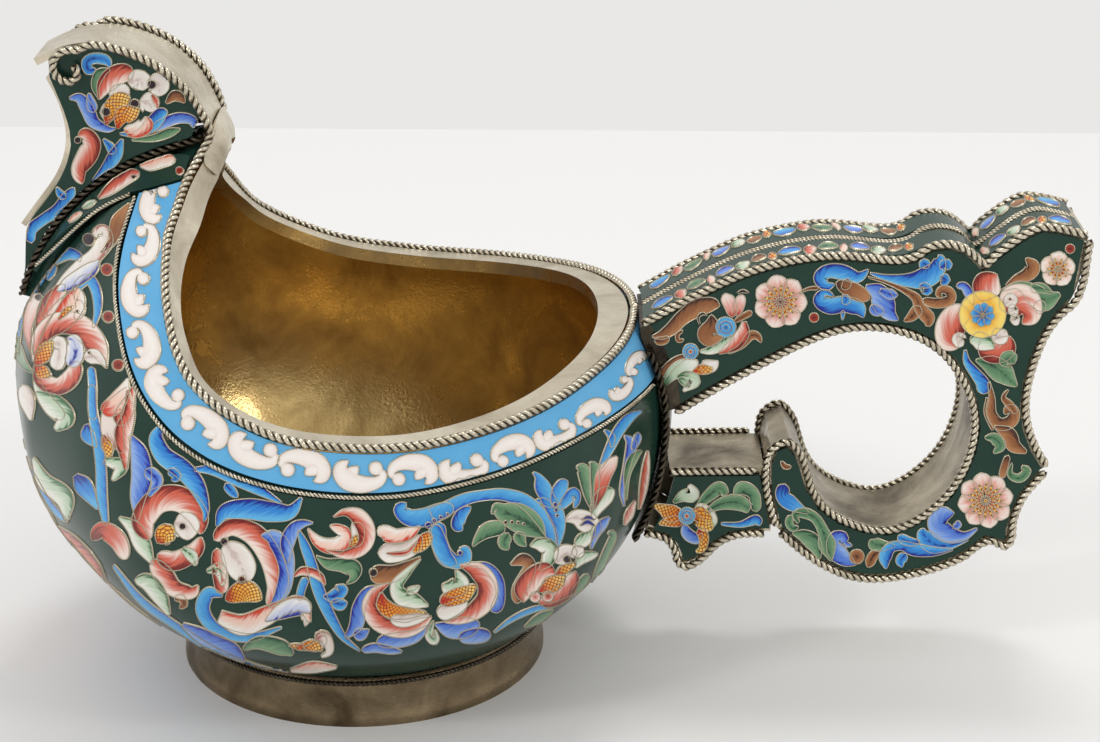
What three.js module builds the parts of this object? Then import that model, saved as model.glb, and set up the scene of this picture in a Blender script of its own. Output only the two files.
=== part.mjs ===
// A rigid wine ladle of silver-gilt with enamel: a round bowl whose front rises into a hooked prow,
// a box-section handle that scrolls back under itself, and ropes of twisted wire along every edge.
// Millimetres, +Z up, prow towards -X, handle towards +X, left side towards -Y.

import * as THREE from "three";
import { mergeVertices } from "three/addons/utils/BufferGeometryUtils.js";

// Clearance between pieces that touch on the real ladle, and between an enamel skin and its backing
const seatGap = 0.3;
const skinGap = 0.36;

// Metal and enamel thicknesses
const enamelThickness = 0.8;
const bowlWall = 1.3;
const cheekWall = 1.2;
const strapWall = 1.4;
const frontWall = 1.1;

// Radii of the wires
const rimWireRadius = 0.85;
const edgeWireRadius = 0.8;
const borderWireRadius = 0.42;
const seamWireRadius = 0.8;
const crestWireRadius = 0.72;
const mountWireRadius = 0.8;
const footWireRadius = 0.65;
const strapWireRadius = 0.4;

// Bowl: levels above the table, half width at the sides, the hood's rise over the widest level, and the
// curves above and below that level
const footHeight = 11;
const footSeatRadius = 36.8;
const floorSag = 3.2;
const bowlHalfWidth = 57.3;
const bellyHeight = 53;
const bowlPoleHeight = 4.7;
const bellyDepth = bellyHeight - bowlPoleHeight;
const hoodRise = 56.6;
const crownRiseShare = 0.9276;
const crownRise = hoodRise * crownRiseShare;
const bellyPower = 2.24;

// Tables by azimuth in degrees: 0 faces the handle, 90 the side and 180 the prow
const reachShares = [[0, 1.041], [45, 0.99], [90, 1], [120, 1.087], [150, 1.081], [180, 1.166]];
const crownShares = [[0, 0.865], [45, 0.883], [90, 1], [120, 1.122], [150, 1.114], [180, 1.149]];
const crownPowers = [[0, 1.85], [45, 1.95], [90, 1.8], [120, 1.92], [150, 1.88], [180, 2.17]];

// Rim: its lowest point at the sides and the top of the hood under the crest, both measured up from
// the bowl's widest level, and the rise between them
const rimRise = 12.2;
const rimLow = bellyHeight + rimRise;
const hoodTop = bellyHeight + hoodRise;
const rimRiseShares = [
  [0, 0.142], [27, 0.11], [50, 0.045], [73, 0], [87, 0.007], [100, 0.054], [112, 0.18], [118.5, 0.291],
  [124, 0.435], [133, 0.604], [141, 0.696], [149, 0.795], [157, 0.858], [163.3, 0.953], [180, 1],
];

// Silver rim band by azimuth: its width, its tilt into the bowl in degrees, and the lip that hangs inside it
const bandWidth = 5.2;
const bandWidthShares = [
  [0, 1.33], [14, 1.25], [27, 1.08], [45, 1], [90, 0.97], [106, 0.8], [117, 0.8], [124, 0.94], [133, 1.12],
  [144, 1.22], [156, 1.26], [166, 1.2], [180, 1.05],
];
const bandWall = 1.3;
const bandBevel = 0.8;
const lipDepth = 2.6;
const lipWall = 1.1;
const shellClearance = 3;
const bandTilts = [
  [0, 2], [27, 0], [60, 0], [99, 1], [106, 7], [112, 15], [119, 36], [124, 56], [133, 66], [144, 63],
  [156, 60], [166, 63], [180, 66],
];

// Lower edge of the pale border band, then of the collar under the prow's seam, as shares of the
// height from the bowl's widest level to the hood top
const borderEdgeShares = [
  [0, 0.129], [22, 0.139], [43, 0.119], [63, 0.084], [82, 0.068], [99, 0.103], [113, 0.19],
  [124, 0.317], [137, 0.49], [149, 0.613], [158, 0.747], [161.1, 0.794], [164.5, 0.76], [170.6, 0.634],
  [175, 0.509], [180, 0.347],
];
const borderCorner = 161.1;
const borderEnd = 160.4;
const borderEndSkew = 8.6;
const borderSkewStart = 140;

// Half of the clearance between two bodies that meet end to end round the bowl, in degrees
const halfTurnGap = 0.15;
const ropeEndTurn = 0.5;
const fineEndTurn = 4.6;
const collarGapTurn = 1.2;
const collarTopTurn = 4;
const collarKeelTurn = 3.4;
const collarSeamSkip = 3;
const seamEndTurn = 0.9;
const mountEndTurn = 12.7;

// Rings of the bowl's floor inside the foot, and stations of the seam from the keel to the hood
const floorShares = [0, 0.5, 0.9];
const seamStationShares = [0.012, 0.04, 0.08, 0.13, 0.19, 0.26, 0.34, 0.43, 0.53, 0.63, 0.73, 0.83, 0.92, 1];

// Foot ring
const footRadius = 36.2;
const footTopRadius = 35.4;
const footWall = 2.2;
const footFlare = 0.9;
const footToe = 1.6;
const footClearance = 0.9;

// Prow, seen from the side: keel at the front of the bowl, hollow front edge, beak tip, and the crest
// that falls back to the hood top. Its length spans the bowl's front and its rise reaches over the
// hood, and its outline is in shares of both.
const keelInset = 2.8;
const keelRiseShare = 0.371;
const prowLengthShare = 0.68;
const prowRiseShare = 1.427;
const keelX = keelInset - bowlHalfWidth * reachShares.at(-1)[1];
const keelZ = bellyHeight + hoodRise * keelRiseShare;
const prowLength = bowlHalfWidth * prowLengthShare;
const prowRise = (hoodTop - keelZ) * prowRiseShare;
const keelShares = [[0, 0.045], [0.01, 0.16], [0.023, 0.278]];
const frontShares = [
  [0.023, 0.278], [0.11, 0.367], [0.21, 0.465], [0.287, 0.606], [0.269, 0.77], [0.174, 0.935],
];
const crestShares = [
  [0.174, 0.935], [0.323, 0.986], [0.487, 1], [0.638, 0.972], [0.777, 0.919], [0.892, 0.837],
  [0.966, 0.74], [0.993, 0.69],
];
const keelHalfWidth = 1.7;
const skinSeamStart = 0.03;
const plateSeamStart = 0.22;
const plateFrontSkip = 3;
const cheekSeamEnd = 0.93;
const tipHalfWidth = 7.8;
const crestHalfWidth = 8.8;
const crestFootHalfWidth = 7.7;
const cheekFlatRun = 34;
const cheekFlatX = keelX + cheekFlatRun;
const curlRadius = 4.3;
const curlEndRadius = 1.3;
const curlTurnDeg = 350;
const curlStartDeg = 62;
const curlTightening = 0.7;
const curlCentreShares = [0.349, 0.906];

// Handle, seen from the side, in shares of its length and height from the foot of its root
const handleInset = 5.65;
const handleDrop = 34;
const handleRootX = bowlHalfWidth * reachShares[0][1] - handleInset;
const handleBaseZ = bellyHeight - handleDrop;
const handleLength = 83.3;
const handleHeight = 72.3;
const strapHalfWidth = 8.6;
const topSink = 0.45;
const topRise = 0.5;
const laneStart = 1.4;
const topRunShares = [
  [-0.01, 0.72], [0.119, 0.808], [0.262, 0.885], [0.411, 0.921], [0.533, 0.914], [0.594, 0.91],
  [0.631, 0.941], [0.677, 0.956], [0.73, 0.939], [0.767, 0.9],
];
const peakRunShares = [[0.767, 0.9], [0.82, 0.954], [0.88, 1], [0.93, 0.999], [1, 0.979]];
const endRunShares = [[1, 0.979], [0.984, 0.811]];
const backRunShares = [[0.984, 0.811], [0.92, 0.712], [0.886, 0.546], [0.903, 0.422], [0.951, 0.326]];
const spurRunShares = [[0.951, 0.326], [0.903, 0.252], [0.88, 0.173], [0.878, 0.095]];
const notchRunShares = [[0.878, 0.095], [0.82, 0.113]];
const underRunShares = [
  [0.82, 0.113], [0.75, 0.05], [0.624, 0.003], [0.516, 0.001], [0.42, 0.053], [0.33, 0.142],
];
const tongueRunShares = [
  [0.33, 0.142], [0.305, 0.242], [0.298, 0.325], [0.315, 0.387], [0.348, 0.4], [0.376, 0.365], [0.403, 0.271],
];
const loopRunShares = [
  [0.403, 0.271], [0.454, 0.191], [0.57, 0.141], [0.66, 0.178], [0.738, 0.277], [0.774, 0.415], [0.756, 0.539],
  [0.69, 0.653], [0.603, 0.71], [0.504, 0.726], [0.408, 0.7], [0.274, 0.618], [0.131, 0.517], [0.05, 0.452],
];

// Bracket between the bowl and the tongue, in the same shares
const bracketTopShares = [[0.04, 0.311], [0.268, 0.316]];
const bracketDropShares = [[0.013, 0.131], [0.066, 0.117], [0.089, 0.086], [0.106, 0.028]];
const bracketRiseShares = [[0.106, 0.028], [0.158, 0.054], [0.199, 0.109], [0.258, 0.129], [0.32, 0.13]];

// Saddle plate that the handle and bracket are soldered to
const saddleHalfWidth = 10.2;
const saddleWall = 1;
const saddleDrop = 25;
const saddleRise = 13.5;
const saddleFoot = bellyHeight - saddleDrop;
const saddleHead = bellyHeight + saddleRise;

// Facets and stations
const rimStations = 28;
const fieldRows = 8;
const borderRows = 2;
const collarStations = 8;
const wireArcs = 3;
const footWireSides = 6;
const footFacets = 48;
const cheekRows = 4;
const rimPartRows = 2;
const curlStations = 9;
const seatFacets = 3;
const saddleRows = 8;
const saddleColumns = 6;
const wireSteps = {
  border: 30, collar: 7, seam: 16, crest: 36, mount: 10, handle_top: 30, handle_back: 12, handle_under: 22,
  handle_inner: 38, bracket_top: 4, bracket_under: 12,
};
const runFacets = { top: 18, peak: 7, end: 1, back: 8, spur: 5, notch: 1, under: 11, tongue: 9, loop: 26 };
const bracketFacets = { top: 1, drop: 5, rise: 5 };
const prowFacets = { line: 40, keel: 3, front: 9, crest: 14 };

// Steps with which slopes are measured on the bowl, and limits of the searches
const probeTurn = 0.5;
const normalTurn = 0.4;
const normalRise = 0.13;
const weldReach = 1e-4;
const fineTurns = 360;
const halvings = 40;
const steepestShare = 0.5;
const sharpestCorner = 0.5;

const silver = () => new THREE.MeshStandardMaterial({ color: 0xbdb6a2, roughness: 0.34, metalness: 1 });
const oxide = () => new THREE.MeshStandardMaterial({ color: 0x55504a, roughness: 0.5, metalness: 0.9 });
const gilt = () => new THREE.MeshStandardMaterial({ color: 0x96703a, roughness: 0.32, metalness: 1 });
const darkEnamel = () => new THREE.MeshStandardMaterial({ color: 0x213a32, roughness: 0.14, metalness: 0 });
const paleEnamel = () => new THREE.MeshStandardMaterial({ color: 0x58b2ea, roughness: 0.16, metalness: 0 });

const ladle = new THREE.Group();
const sides = [["left", -1], ["right", 1]];

function addPiece(name, geometry, material) {
  const mesh = new THREE.Mesh(geometry, material);
  mesh.name = name;
  ladle.add(mesh);
}

// Smooth curve through [place, value] stations, level at both ends
function smooth(stations, place) {
  const last = stations.length - 1;
  const slope = (i) => {
    if (i === 0 || i === last) return 0;
    return (stations[i + 1][1] - stations[i - 1][1]) / (stations[i + 1][0] - stations[i - 1][0]);
  };
  let i = 0;
  while (i < last - 1 && place > stations[i + 1][0]) i += 1;
  const [from, start] = stations[i];
  const [to, end] = stations[i + 1];
  const span = to - from;
  const t = THREE.MathUtils.clamp((place - from) / span, 0, 1);
  const rise = start * (1 - t) ** 2 * (1 + 2 * t) + end * t ** 2 * (3 - 2 * t);
  return rise + span * (slope(i) * t * (1 - t) ** 2 - slope(i + 1) * t ** 2 * (1 - t));
}

const shareOfBelly = (fall) => (1 - Math.min(Math.abs(fall), 1) ** bellyPower) ** (1 / bellyPower);

// Radius of the bowl's outer surface: a belly that closes on the foot and a crown that closes above
function bowlRadius(azimuth, height) {
  const reach = bowlHalfWidth * smooth(reachShares, azimuth);
  if (height >= bellyHeight) {
    const power = smooth(crownPowers, azimuth);
    const climb = (height - bellyHeight) / (crownRise * smooth(crownShares, azimuth));
    return reach * (1 - Math.min(climb, 1) ** power) ** (1 / power);
  }
  const atFoot = shareOfBelly((bellyHeight - footHeight) / bellyDepth);
  const here = shareOfBelly((bellyHeight - height) / bellyDepth);
  return footSeatRadius + (reach - footSeatRadius) * (here - atFoot) / (1 - atFoot);
}

function bowlPoint(azimuth, height) {
  const turn = THREE.MathUtils.degToRad(azimuth);
  const radius = bowlRadius(azimuth, height);
  return new THREE.Vector3(radius * Math.cos(turn), radius * Math.sin(turn), height);
}

// Outward normal of the bowl, from neighbouring points
function bowlNormal(azimuth, height) {
  const east = bowlPoint(azimuth + normalTurn, height).sub(bowlPoint(azimuth - normalTurn, height));
  const up = bowlPoint(azimuth, height + normalRise).sub(bowlPoint(azimuth, height - normalRise));
  const normal = east.cross(up).normalize();
  if (azimuth <= normalTurn || azimuth >= 180 - normalTurn) normal.setY(0).normalize();
  return normal;
}

const rimHeight = (azimuth) => rimLow + (hoodTop - rimLow) * smooth(rimRiseShares, azimuth);
const borderHeight = (azimuth) => bellyHeight + hoodRise * smooth(borderEdgeShares, azimuth);
const rimPoint = (azimuth) => bowlPoint(azimuth, rimHeight(azimuth));

function azimuthOf(point) {
  return THREE.MathUtils.radToDeg(Math.atan2(Math.abs(point.y), point.x));
}

// [azimuth, height] of a point on the bowl at a distance beside a level line: above it, or below if negative
function alongside(levelOf, azimuth, distance) {
  const before = Math.max(azimuth - probeTurn, 0);
  const after = Math.min(azimuth + probeTurn, 180);
  const run = bowlPoint(after, levelOf(after)).sub(bowlPoint(before, levelOf(before)));
  if (azimuth === 0 || azimuth === 180) run.set(0, run.y, 0);
  const point = bowlPoint(azimuth, levelOf(azimuth));
  const across = bowlNormal(azimuth, levelOf(azimuth)).cross(run).normalize();
  point.addScaledVector(across, distance);
  if (azimuth === 0 || azimuth === 180) return [azimuth, point.z];
  return [THREE.MathUtils.clamp(azimuthOf(point), 0, 180), point.z];
}

// Place straight above or below a level line on the bowl, a distance from the line itself
function offLine(levelOf, azimuth, distance) {
  const level = levelOf(azimuth);
  const [later, earlier] = [Math.min(azimuth + probeTurn, 180), Math.max(azimuth - probeTurn, 0)];
  const after = bowlPoint(later, levelOf(later));
  const before = bowlPoint(earlier, levelOf(earlier));
  const rise = bowlPoint(azimuth, level + seatGap).sub(bowlPoint(azimuth, level)).normalize();
  const lean = Math.max(rise.clone().cross(after.sub(before).normalize()).length(), steepestShare);
  return [azimuth, level + distance * rise.z / lean];
}

const mirrored = (point, side) => new THREE.Vector3(point.x, point.y * side, point.z);
const lerp = THREE.MathUtils.lerp;
const shareList = (count) => Array.from({ length: count + 1 }, (_, i) => i / count);

// Closed geometry from positions and triangles: coincident corners merged, faces turned outwards
function closedGeometry(positions, triangles) {
  const raw = new THREE.BufferGeometry();
  raw.setAttribute("position", new THREE.Float32BufferAttribute(positions, 3));
  raw.setIndex(triangles);
  const merged = mergeVertices(raw, weldReach);
  const at = merged.getAttribute("position");
  const corner = (i) => new THREE.Vector3().fromBufferAttribute(at, i);
  const kept = [];
  let volume = 0;
  for (let i = 0; i < merged.index.count; i += 3) {
    const [a, b, c] = [0, 1, 2].map((k) => merged.index.getX(i + k));
    if (a === b || b === c || c === a) continue;
    kept.push(a, b, c);
    volume += corner(a).dot(corner(b).cross(corner(c)));
  }
  if (volume < 0) {
    for (let i = 0; i < kept.length; i += 3) kept.splice(i, 2, kept[i + 1], kept[i]);
  }
  merged.setIndex(kept);
  merged.computeVertexNormals();
  return merged;
}

// Plate from columns of [outer, inner] point pairs, open at its ends or closed into a ring
function plate(columns, ring = false) {
  const rows = columns[0].length;
  const positions = columns.flat(2).flatMap((p) => [p.x, p.y, p.z]);
  const at = (i, j, layer) => ((i % columns.length) * rows + j) * 2 + layer;
  const triangles = [];
  const quad = (a, b, c, d) => triangles.push(a, b, c, a, c, d);
  const spans = ring ? columns.length : columns.length - 1;
  for (let i = 0; i < spans; i += 1) {
    for (let j = 0; j < rows - 1; j += 1) {
      quad(at(i, j, 0), at(i + 1, j, 0), at(i + 1, j + 1, 0), at(i, j + 1, 0));
      quad(at(i, j, 1), at(i, j + 1, 1), at(i + 1, j + 1, 1), at(i + 1, j, 1));
    }
    quad(at(i, 0, 0), at(i, 0, 1), at(i + 1, 0, 1), at(i + 1, 0, 0));
    quad(at(i, rows - 1, 0), at(i + 1, rows - 1, 0), at(i + 1, rows - 1, 1), at(i, rows - 1, 1));
  }
  if (!ring) {
    const end = columns.length - 1;
    for (let j = 0; j < rows - 1; j += 1) {
      quad(at(0, j, 0), at(0, j + 1, 0), at(0, j + 1, 1), at(0, j, 1));
      quad(at(end, j, 0), at(end, j, 1), at(end, j + 1, 1), at(end, j + 1, 0));
    }
  }
  return closedGeometry(positions, triangles);
}

// Ring or bar from closed cross-sections of equal point count
function sweep(sections, ring = false) {
  const count = sections[0].length;
  const positions = sections.flat().flatMap((p) => [p.x, p.y, p.z]);
  const at = (i, j) => (i % sections.length) * count + (j % count);
  const triangles = [];
  const spans = ring ? sections.length : sections.length - 1;
  for (let i = 0; i < spans; i += 1) {
    for (let j = 0; j < count; j += 1) {
      triangles.push(at(i, j), at(i + 1, j), at(i + 1, j + 1), at(i, j), at(i + 1, j + 1), at(i, j + 1));
    }
  }
  if (!ring) {
    const end = sections.length - 1;
    for (let j = 1; j < count - 1; j += 1) {
      triangles.push(at(0, 0), at(0, j), at(0, j + 1), at(end, 0), at(end, j + 1), at(end, j));
    }
  }
  return closedGeometry(positions, triangles);
}

// Round wire along a smooth curve through points
function wire(points, radius, steps) {
  const section = new THREE.Shape().absarc(0, 0, radius, 0, 2 * Math.PI);
  const route = new THREE.CatmullRomCurve3(points, false, "centripetal");
  return new THREE.ExtrudeGeometry(section, { steps, curveSegments: wireArcs, extrudePath: route });
}

// Bowl skins, each between a lower and an upper line of [azimuth, height] and two depths in the wall
function bowlColumns(lower, upper, rows, outerDepth, innerDepth, side) {
  return lower.map((start, i) => shareList(rows).map((share) => {
    const azimuth = lerp(start[0], upper[i][0], share);
    const height = lerp(start[1], upper[i][1], share);
    const point = bowlPoint(azimuth, height);
    const normal = bowlNormal(azimuth, height);
    return [outerDepth, innerDepth].map((depth) => (
      mirrored(point.clone().addScaledVector(normal, -depth), side)
    ));
  }));
}

// Azimuths that space the rim evenly from the handle to the prow, one of them at the border's corner
const rimAzimuths = (() => {
  const fine = shareList(fineTurns).map((share) => 180 * share);
  const reached = [0];
  fine.slice(1).forEach((azimuth, i) => {
    reached.push(reached[i] + rimPoint(azimuth).distanceTo(rimPoint(fine[i])));
  });
  const whole = reached[reached.length - 1];
  const even = shareList(rimStations).map((share) => (
    share < 1 ? fine[Math.max(reached.findIndex((length) => length > share * whole) - 1, 0)] : 180
  ));
  const nearest = even.reduce((best, azimuth, i) => (
    Math.abs(azimuth - borderCorner) < Math.abs(even[best] - borderCorner) ? i : best
  ), 0);
  return even.map((azimuth, i) => (i === nearest ? borderCorner : azimuth));
})();

// Bowl: one raised shell, floor and wall, open at the rim
const enamelDepth = enamelThickness + skinGap;
const rimClearance = rimWireRadius + seatGap;
const ringFromHalf = (half) => [...half(-1), ...half(1).slice(1, -1).reverse()];

const shellHalf = (side) => {
  const foot = rimAzimuths.map((azimuth) => [azimuth, footHeight]);
  const line = rimAzimuths.map((azimuth) => [azimuth, borderHeight(azimuth)]);
  const lip = rimAzimuths.map((azimuth) => alongside(rimHeight, azimuth, -shellClearance));
  const wall = bowlColumns(foot, line, fieldRows, enamelDepth, enamelDepth + bowlWall, side);
  const brow = bowlColumns(line, lip, borderRows, enamelDepth, enamelDepth + bowlWall, side);
  return wall.map((column, i) => {
    const turn = THREE.MathUtils.degToRad(rimAzimuths[i]);
    const floor = floorShares.map((share) => {
      const radius = share * (footSeatRadius - enamelDepth);
      const level = footHeight - floorSag * (1 - share ** 2);
      const spot = (lift) => (
        new THREE.Vector3(radius * Math.cos(turn), side * radius * Math.sin(turn), level + lift)
      );
      return [spot(0), spot(bowlWall)];
    });
    return [...floor, ...column, ...brow[i].slice(1)];
  });
};
addPiece("bowl_shell", plate(ringFromHalf(shellHalf), true), gilt());

// Enamel of the bowl: the main field and the pale border under the rim
const borderGroove = borderWireRadius + seatGap;
const fieldStart = footHeight + footWireRadius + seatGap;
const insideHalf = (azimuth) => THREE.MathUtils.clamp(azimuth, halfTurnGap, 180 - halfTurnGap);

function fieldColumns(side) {
  const azimuths = rimAzimuths.map(insideHalf);
  const lower = azimuths.map((azimuth) => [azimuth, fieldStart]);
  const upper = azimuths.map((azimuth) => offLine(borderHeight, azimuth, -borderGroove));
  return bowlColumns(lower, upper, fieldRows, 0, enamelThickness, side);
}

const borderSkew = (azimuth) => (
  borderEndSkew * THREE.MathUtils.smoothstep(azimuth, borderSkewStart, borderEnd)
);
function borderColumns(side) {
  const azimuths = [...rimAzimuths.filter((azimuth) => azimuth < borderEnd).map(insideHalf), borderEnd];
  const lower = azimuths.map((azimuth) => offLine(borderHeight, azimuth, borderGroove));
  const upper = azimuths.map((azimuth) => alongside(rimHeight, azimuth - borderSkew(azimuth), -rimClearance));
  return bowlColumns(lower, upper, borderRows, 0, enamelThickness, side);
}

// Prow outline: runs of shares turned into places in the XZ plane
const prowPlace = ([along, up]) => new THREE.Vector2(keelX + along * prowLength, keelZ + up * prowRise);
const handlePlace = ([along, up]) => (
  new THREE.Vector2(handleRootX + along * handleLength, handleBaseZ + up * handleHeight)
);

function runPoints(shares, place, count) {
  return new THREE.SplineCurve(shares.map(place)).getSpacedPoints(count);
}

// Run of points moved square to itself, to its left as it is walked
function shifted(points, distance) {
  return points.map((point, i) => {
    const before = points[Math.max(i - 1, 0)];
    const after = points[Math.min(i + 1, points.length - 1)];
    const run = after.clone().sub(before).normalize();
    return new THREE.Vector2(point.x - run.y * distance, point.y + run.x * distance);
  });
}

// Half width of the prow: nothing but a blunt edge at the keel, full width at the crest
const frontLine = runPoints([...keelShares, ...frontShares.slice(1)], prowPlace, prowFacets.line);
const cornerZ = prowPlace(frontShares[0]).y;
const tipZ = prowPlace(frontShares[frontShares.length - 1]).y;
const crestFootZ = prowPlace(crestShares[crestShares.length - 1]).y;

function frontX(height) {
  const next = frontLine.findIndex((point) => point.y >= height);
  if (next === -1) return frontLine[frontLine.length - 1].x;
  if (next === 0) return keelX;
  const [a, b] = [frontLine[next - 1], frontLine[next]];
  return lerp(a.x, b.x, (height - a.y) / (b.y - a.y));
}

function cheekHalf(x, height) {
  const opening = THREE.MathUtils.clamp((height - cornerZ) / (tipZ - cornerZ), 0, 1);
  const atFront = lerp(keelHalfWidth, tipHalfWidth, opening);
  const narrowing = THREE.MathUtils.clamp((tipZ - height) / (tipZ - crestFootZ), 0, 1);
  const atBack = lerp(crestHalfWidth, crestFootHalfWidth, narrowing);
  const back = THREE.MathUtils.clamp((x - frontX(height)) / (cheekFlatX - frontX(height)), 0, 1);
  return lerp(atFront, atBack, back);
}

// Seam where a cheek of the prow meets the hood, from the keel back to the crest's foot
const crestFoot = prowPlace(crestShares[crestShares.length - 1]);
function seamPoint(share) {
  const x = lerp(keelX + keelHalfWidth / 2, crestFoot.x - seamWireRadius, share);
  let [low, high] = [keelZ - floorSag, hoodTop - seatGap];
  for (let turn = 0; turn < halvings; turn += 1) {
    const middle = (low + high) / 2;
    const half = cheekHalf(x, middle);
    const inside = Math.hypot(x, half) < bowlRadius(azimuthOf(new THREE.Vector3(x, half)), middle);
    if (inside) low = middle;
    else high = middle;
  }
  return new THREE.Vector3(x, cheekHalf(x, low), low);
}

const seamGroove = seamWireRadius + seatGap;
const seamPoints = seamStationShares.map(seamPoint);
const hoodEnd = azimuthOf(seamPoints[seamPoints.length - 1]);

// Point at a share of the way along a line of [azimuth, height] places
function alongLine(places, share) {
  const lengths = [0];
  places.slice(1).forEach((place, i) => {
    lengths.push(lengths[i] + bowlPoint(...place).distanceTo(bowlPoint(...places[i])));
  });
  const target = share * lengths[lengths.length - 1];
  const next = THREE.MathUtils.clamp(lengths.findIndex((length) => length >= target), 1, places.length - 1);
  const t = THREE.MathUtils.clamp((target - lengths[next - 1]) / (lengths[next] - lengths[next - 1]), 0, 1);
  return [0, 1].map((k) => lerp(places[next - 1][k], places[next][k], t));
}

// Places beside the seam, on the collar's side of it
function besideSeam(distance) {
  return seamPoints.map((point, i) => {
    const before = seamPoints[Math.max(i - 1, 0)];
    const run = seamPoints[Math.min(i + 1, seamPoints.length - 1)].clone().sub(before);
    const across = bowlNormal(azimuthOf(point), point.z).cross(run).normalize();
    if (across.y < across.z) across.negate();
    const moved = point.clone().addScaledVector(across, distance);
    return [Math.min(azimuthOf(moved), 180 - halfTurnGap), moved.z];
  });
}

// Collar of enamel between the fine wire and the seam, from the border's end round to the keel
function collarColumns(side) {
  const start = borderEnd + collarGapTurn;
  const places = shareList(collarStations);
  const lowerLine = places.map((share) => (
    offLine(borderHeight, lerp(start, 180 - collarKeelTurn, share), borderGroove)
  ));
  const rimPart = shareList(rimPartRows).map((share) => (
    alongside(rimHeight, lerp(start - borderEndSkew, hoodEnd - collarTopTurn, share), -rimClearance)
  ));
  const upperLine = [...rimPart, ...besideSeam(seamGroove).slice(collarSeamSkip, -2).reverse()];
  const upper = places.map((share) => alongLine(upperLine, share));
  return bowlColumns(lowerLine, upper, borderRows, 0, enamelThickness, side);
}

// The two halves are built in the order the shell's ring runs, so that skin and shell share their facets
const inRingOrder = (columns, side) => (side > 0 ? [...columns].reverse() : columns);
sides.forEach(([name, side]) => {
  addPiece(`bowl_enamel_${name}`, plate(inRingOrder(fieldColumns(side), side)), darkEnamel());
  addPiece(`border_enamel_${name}`, plate(inRingOrder(borderColumns(side), side)), paleEnamel());
  addPiece(`collar_enamel_${name}`, plate(inRingOrder(collarColumns(side), side)), darkEnamel());
});

// Rim band: a silver ledge tilted into the bowl, with a lip hanging from its inner edge
function bandSection(azimuth, side) {
  const run = rimPoint(Math.min(azimuth + probeTurn, 180)).sub(rimPoint(Math.max(azimuth - probeTurn, 0)));
  if (azimuth === 0 || azimuth === 180) run.set(0, run.y, 0);
  run.normalize();
  const inward = new THREE.Vector3(-run.y, run.x, 0).normalize();
  const down = new THREE.Vector3().crossVectors(inward, run).normalize();
  const tilt = THREE.MathUtils.degToRad(smooth(bandTilts, azimuth));
  const across = inward.clone().multiplyScalar(Math.cos(tilt)).addScaledVector(down, Math.sin(tilt));
  const deep = down.clone().multiplyScalar(Math.cos(tilt)).addScaledVector(inward, -Math.sin(tilt));
  const start = rimWireRadius + seatGap;
  const width = bandWidth * smooth(bandWidthShares, azimuth);
  const outline = [
    [start, 0], [width, 0], [width, lipDepth], [width - lipWall, lipDepth],
    [width - lipWall, bandWall], [start + bandBevel, bandWall],
  ];
  return outline.map(([in_, depth]) => (
    mirrored(rimPoint(azimuth).addScaledVector(across, in_).addScaledVector(deep, depth), side)
  ));
}
const bandHalfRing = (side) => rimAzimuths.map((azimuth) => bandSection(azimuth, side));
addPiece("rim_band", sweep(ringFromHalf(bandHalfRing), true), silver());

// Wires on the bowl: the rope on the rim, the fine wire under the border, and the dark braid on the seam
function onBowl([azimuth, height], lift, side) {
  const point = bowlPoint(azimuth, height).addScaledVector(bowlNormal(azimuth, height), lift);
  return mirrored(point, side);
}
const borderWireLift = borderWireRadius - enamelThickness / 2;
sides.forEach(([name, side]) => {
  const rimStops = [...rimAzimuths.filter((azimuth) => azimuth < hoodEnd), hoodEnd];
  const rope = rimStops.map((azimuth) => (
    onBowl([Math.max(azimuth, ropeEndTurn), rimHeight(azimuth)], 0, side)
  ));
  addPiece(`rim_wire_${name}`, wire(rope, rimWireRadius, rope.length - 1), silver());

  [
    ["border", mountEndTurn, borderEnd], ["collar", borderCorner + collarGapTurn, 180 - fineEndTurn],
  ].forEach(([owner, from, to]) => {
    const fine = [from, ...rimAzimuths.filter((azimuth) => azimuth > from && azimuth < to), to];
    const route = fine.map((turn) => onBowl([turn, borderHeight(turn)], borderWireLift, side));
    addPiece(`${owner}_wire_${name}`, wire(route, borderWireRadius, wireSteps[owner]), silver());
  });

  const keelEnd = [180 - seamEndTurn, keelZ];
  const seamPlaces = seamPoints.slice(0, -1).map((point) => [azimuthOf(point), point.z]);
  const braid = [keelEnd, ...seamPlaces].map((place) => onBowl(place, seamWireRadius / 2, side));
  addPiece(`prow_seam_wire_${name}`, wire(braid, seamWireRadius, wireSteps.seam), oxide());
});

// Foot: a plain ring, slightly flared, with a thin twisted wire above it
const footTop = footHeight - footClearance;
const footProfile = [
  [footRadius - footWall, 0], [footRadius, 0], [footRadius, footToe], [footRadius - footFlare, footToe * 2],
  [footTopRadius, footTop], [footTopRadius - footWall, footTop], [footRadius - footWall, 0],
].map(([x, y]) => new THREE.Vector2(x, y));
const footRing = new THREE.LatheGeometry(footProfile, footFacets);
footRing.rotateX(Math.PI / 2);
addPiece("foot_ring", footRing, silver());
const footWireReach = footTopRadius + footWireRadius + seatGap;
const footWire = new THREE.TorusGeometry(footWireReach, footWireRadius, footWireSides, footFacets);
footWire.translate(0, 0, footTop - footWireRadius);
addPiece("foot_wire", footWire, oxide());

// Prow cheeks: silver plates under enamel skins, between the seam and the outline
const keelRun = runPoints(keelShares, prowPlace, prowFacets.keel);
const frontRun = runPoints(frontShares, prowPlace, prowFacets.front);
const crestRun = runPoints(crestShares, prowPlace, prowFacets.crest);

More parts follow.
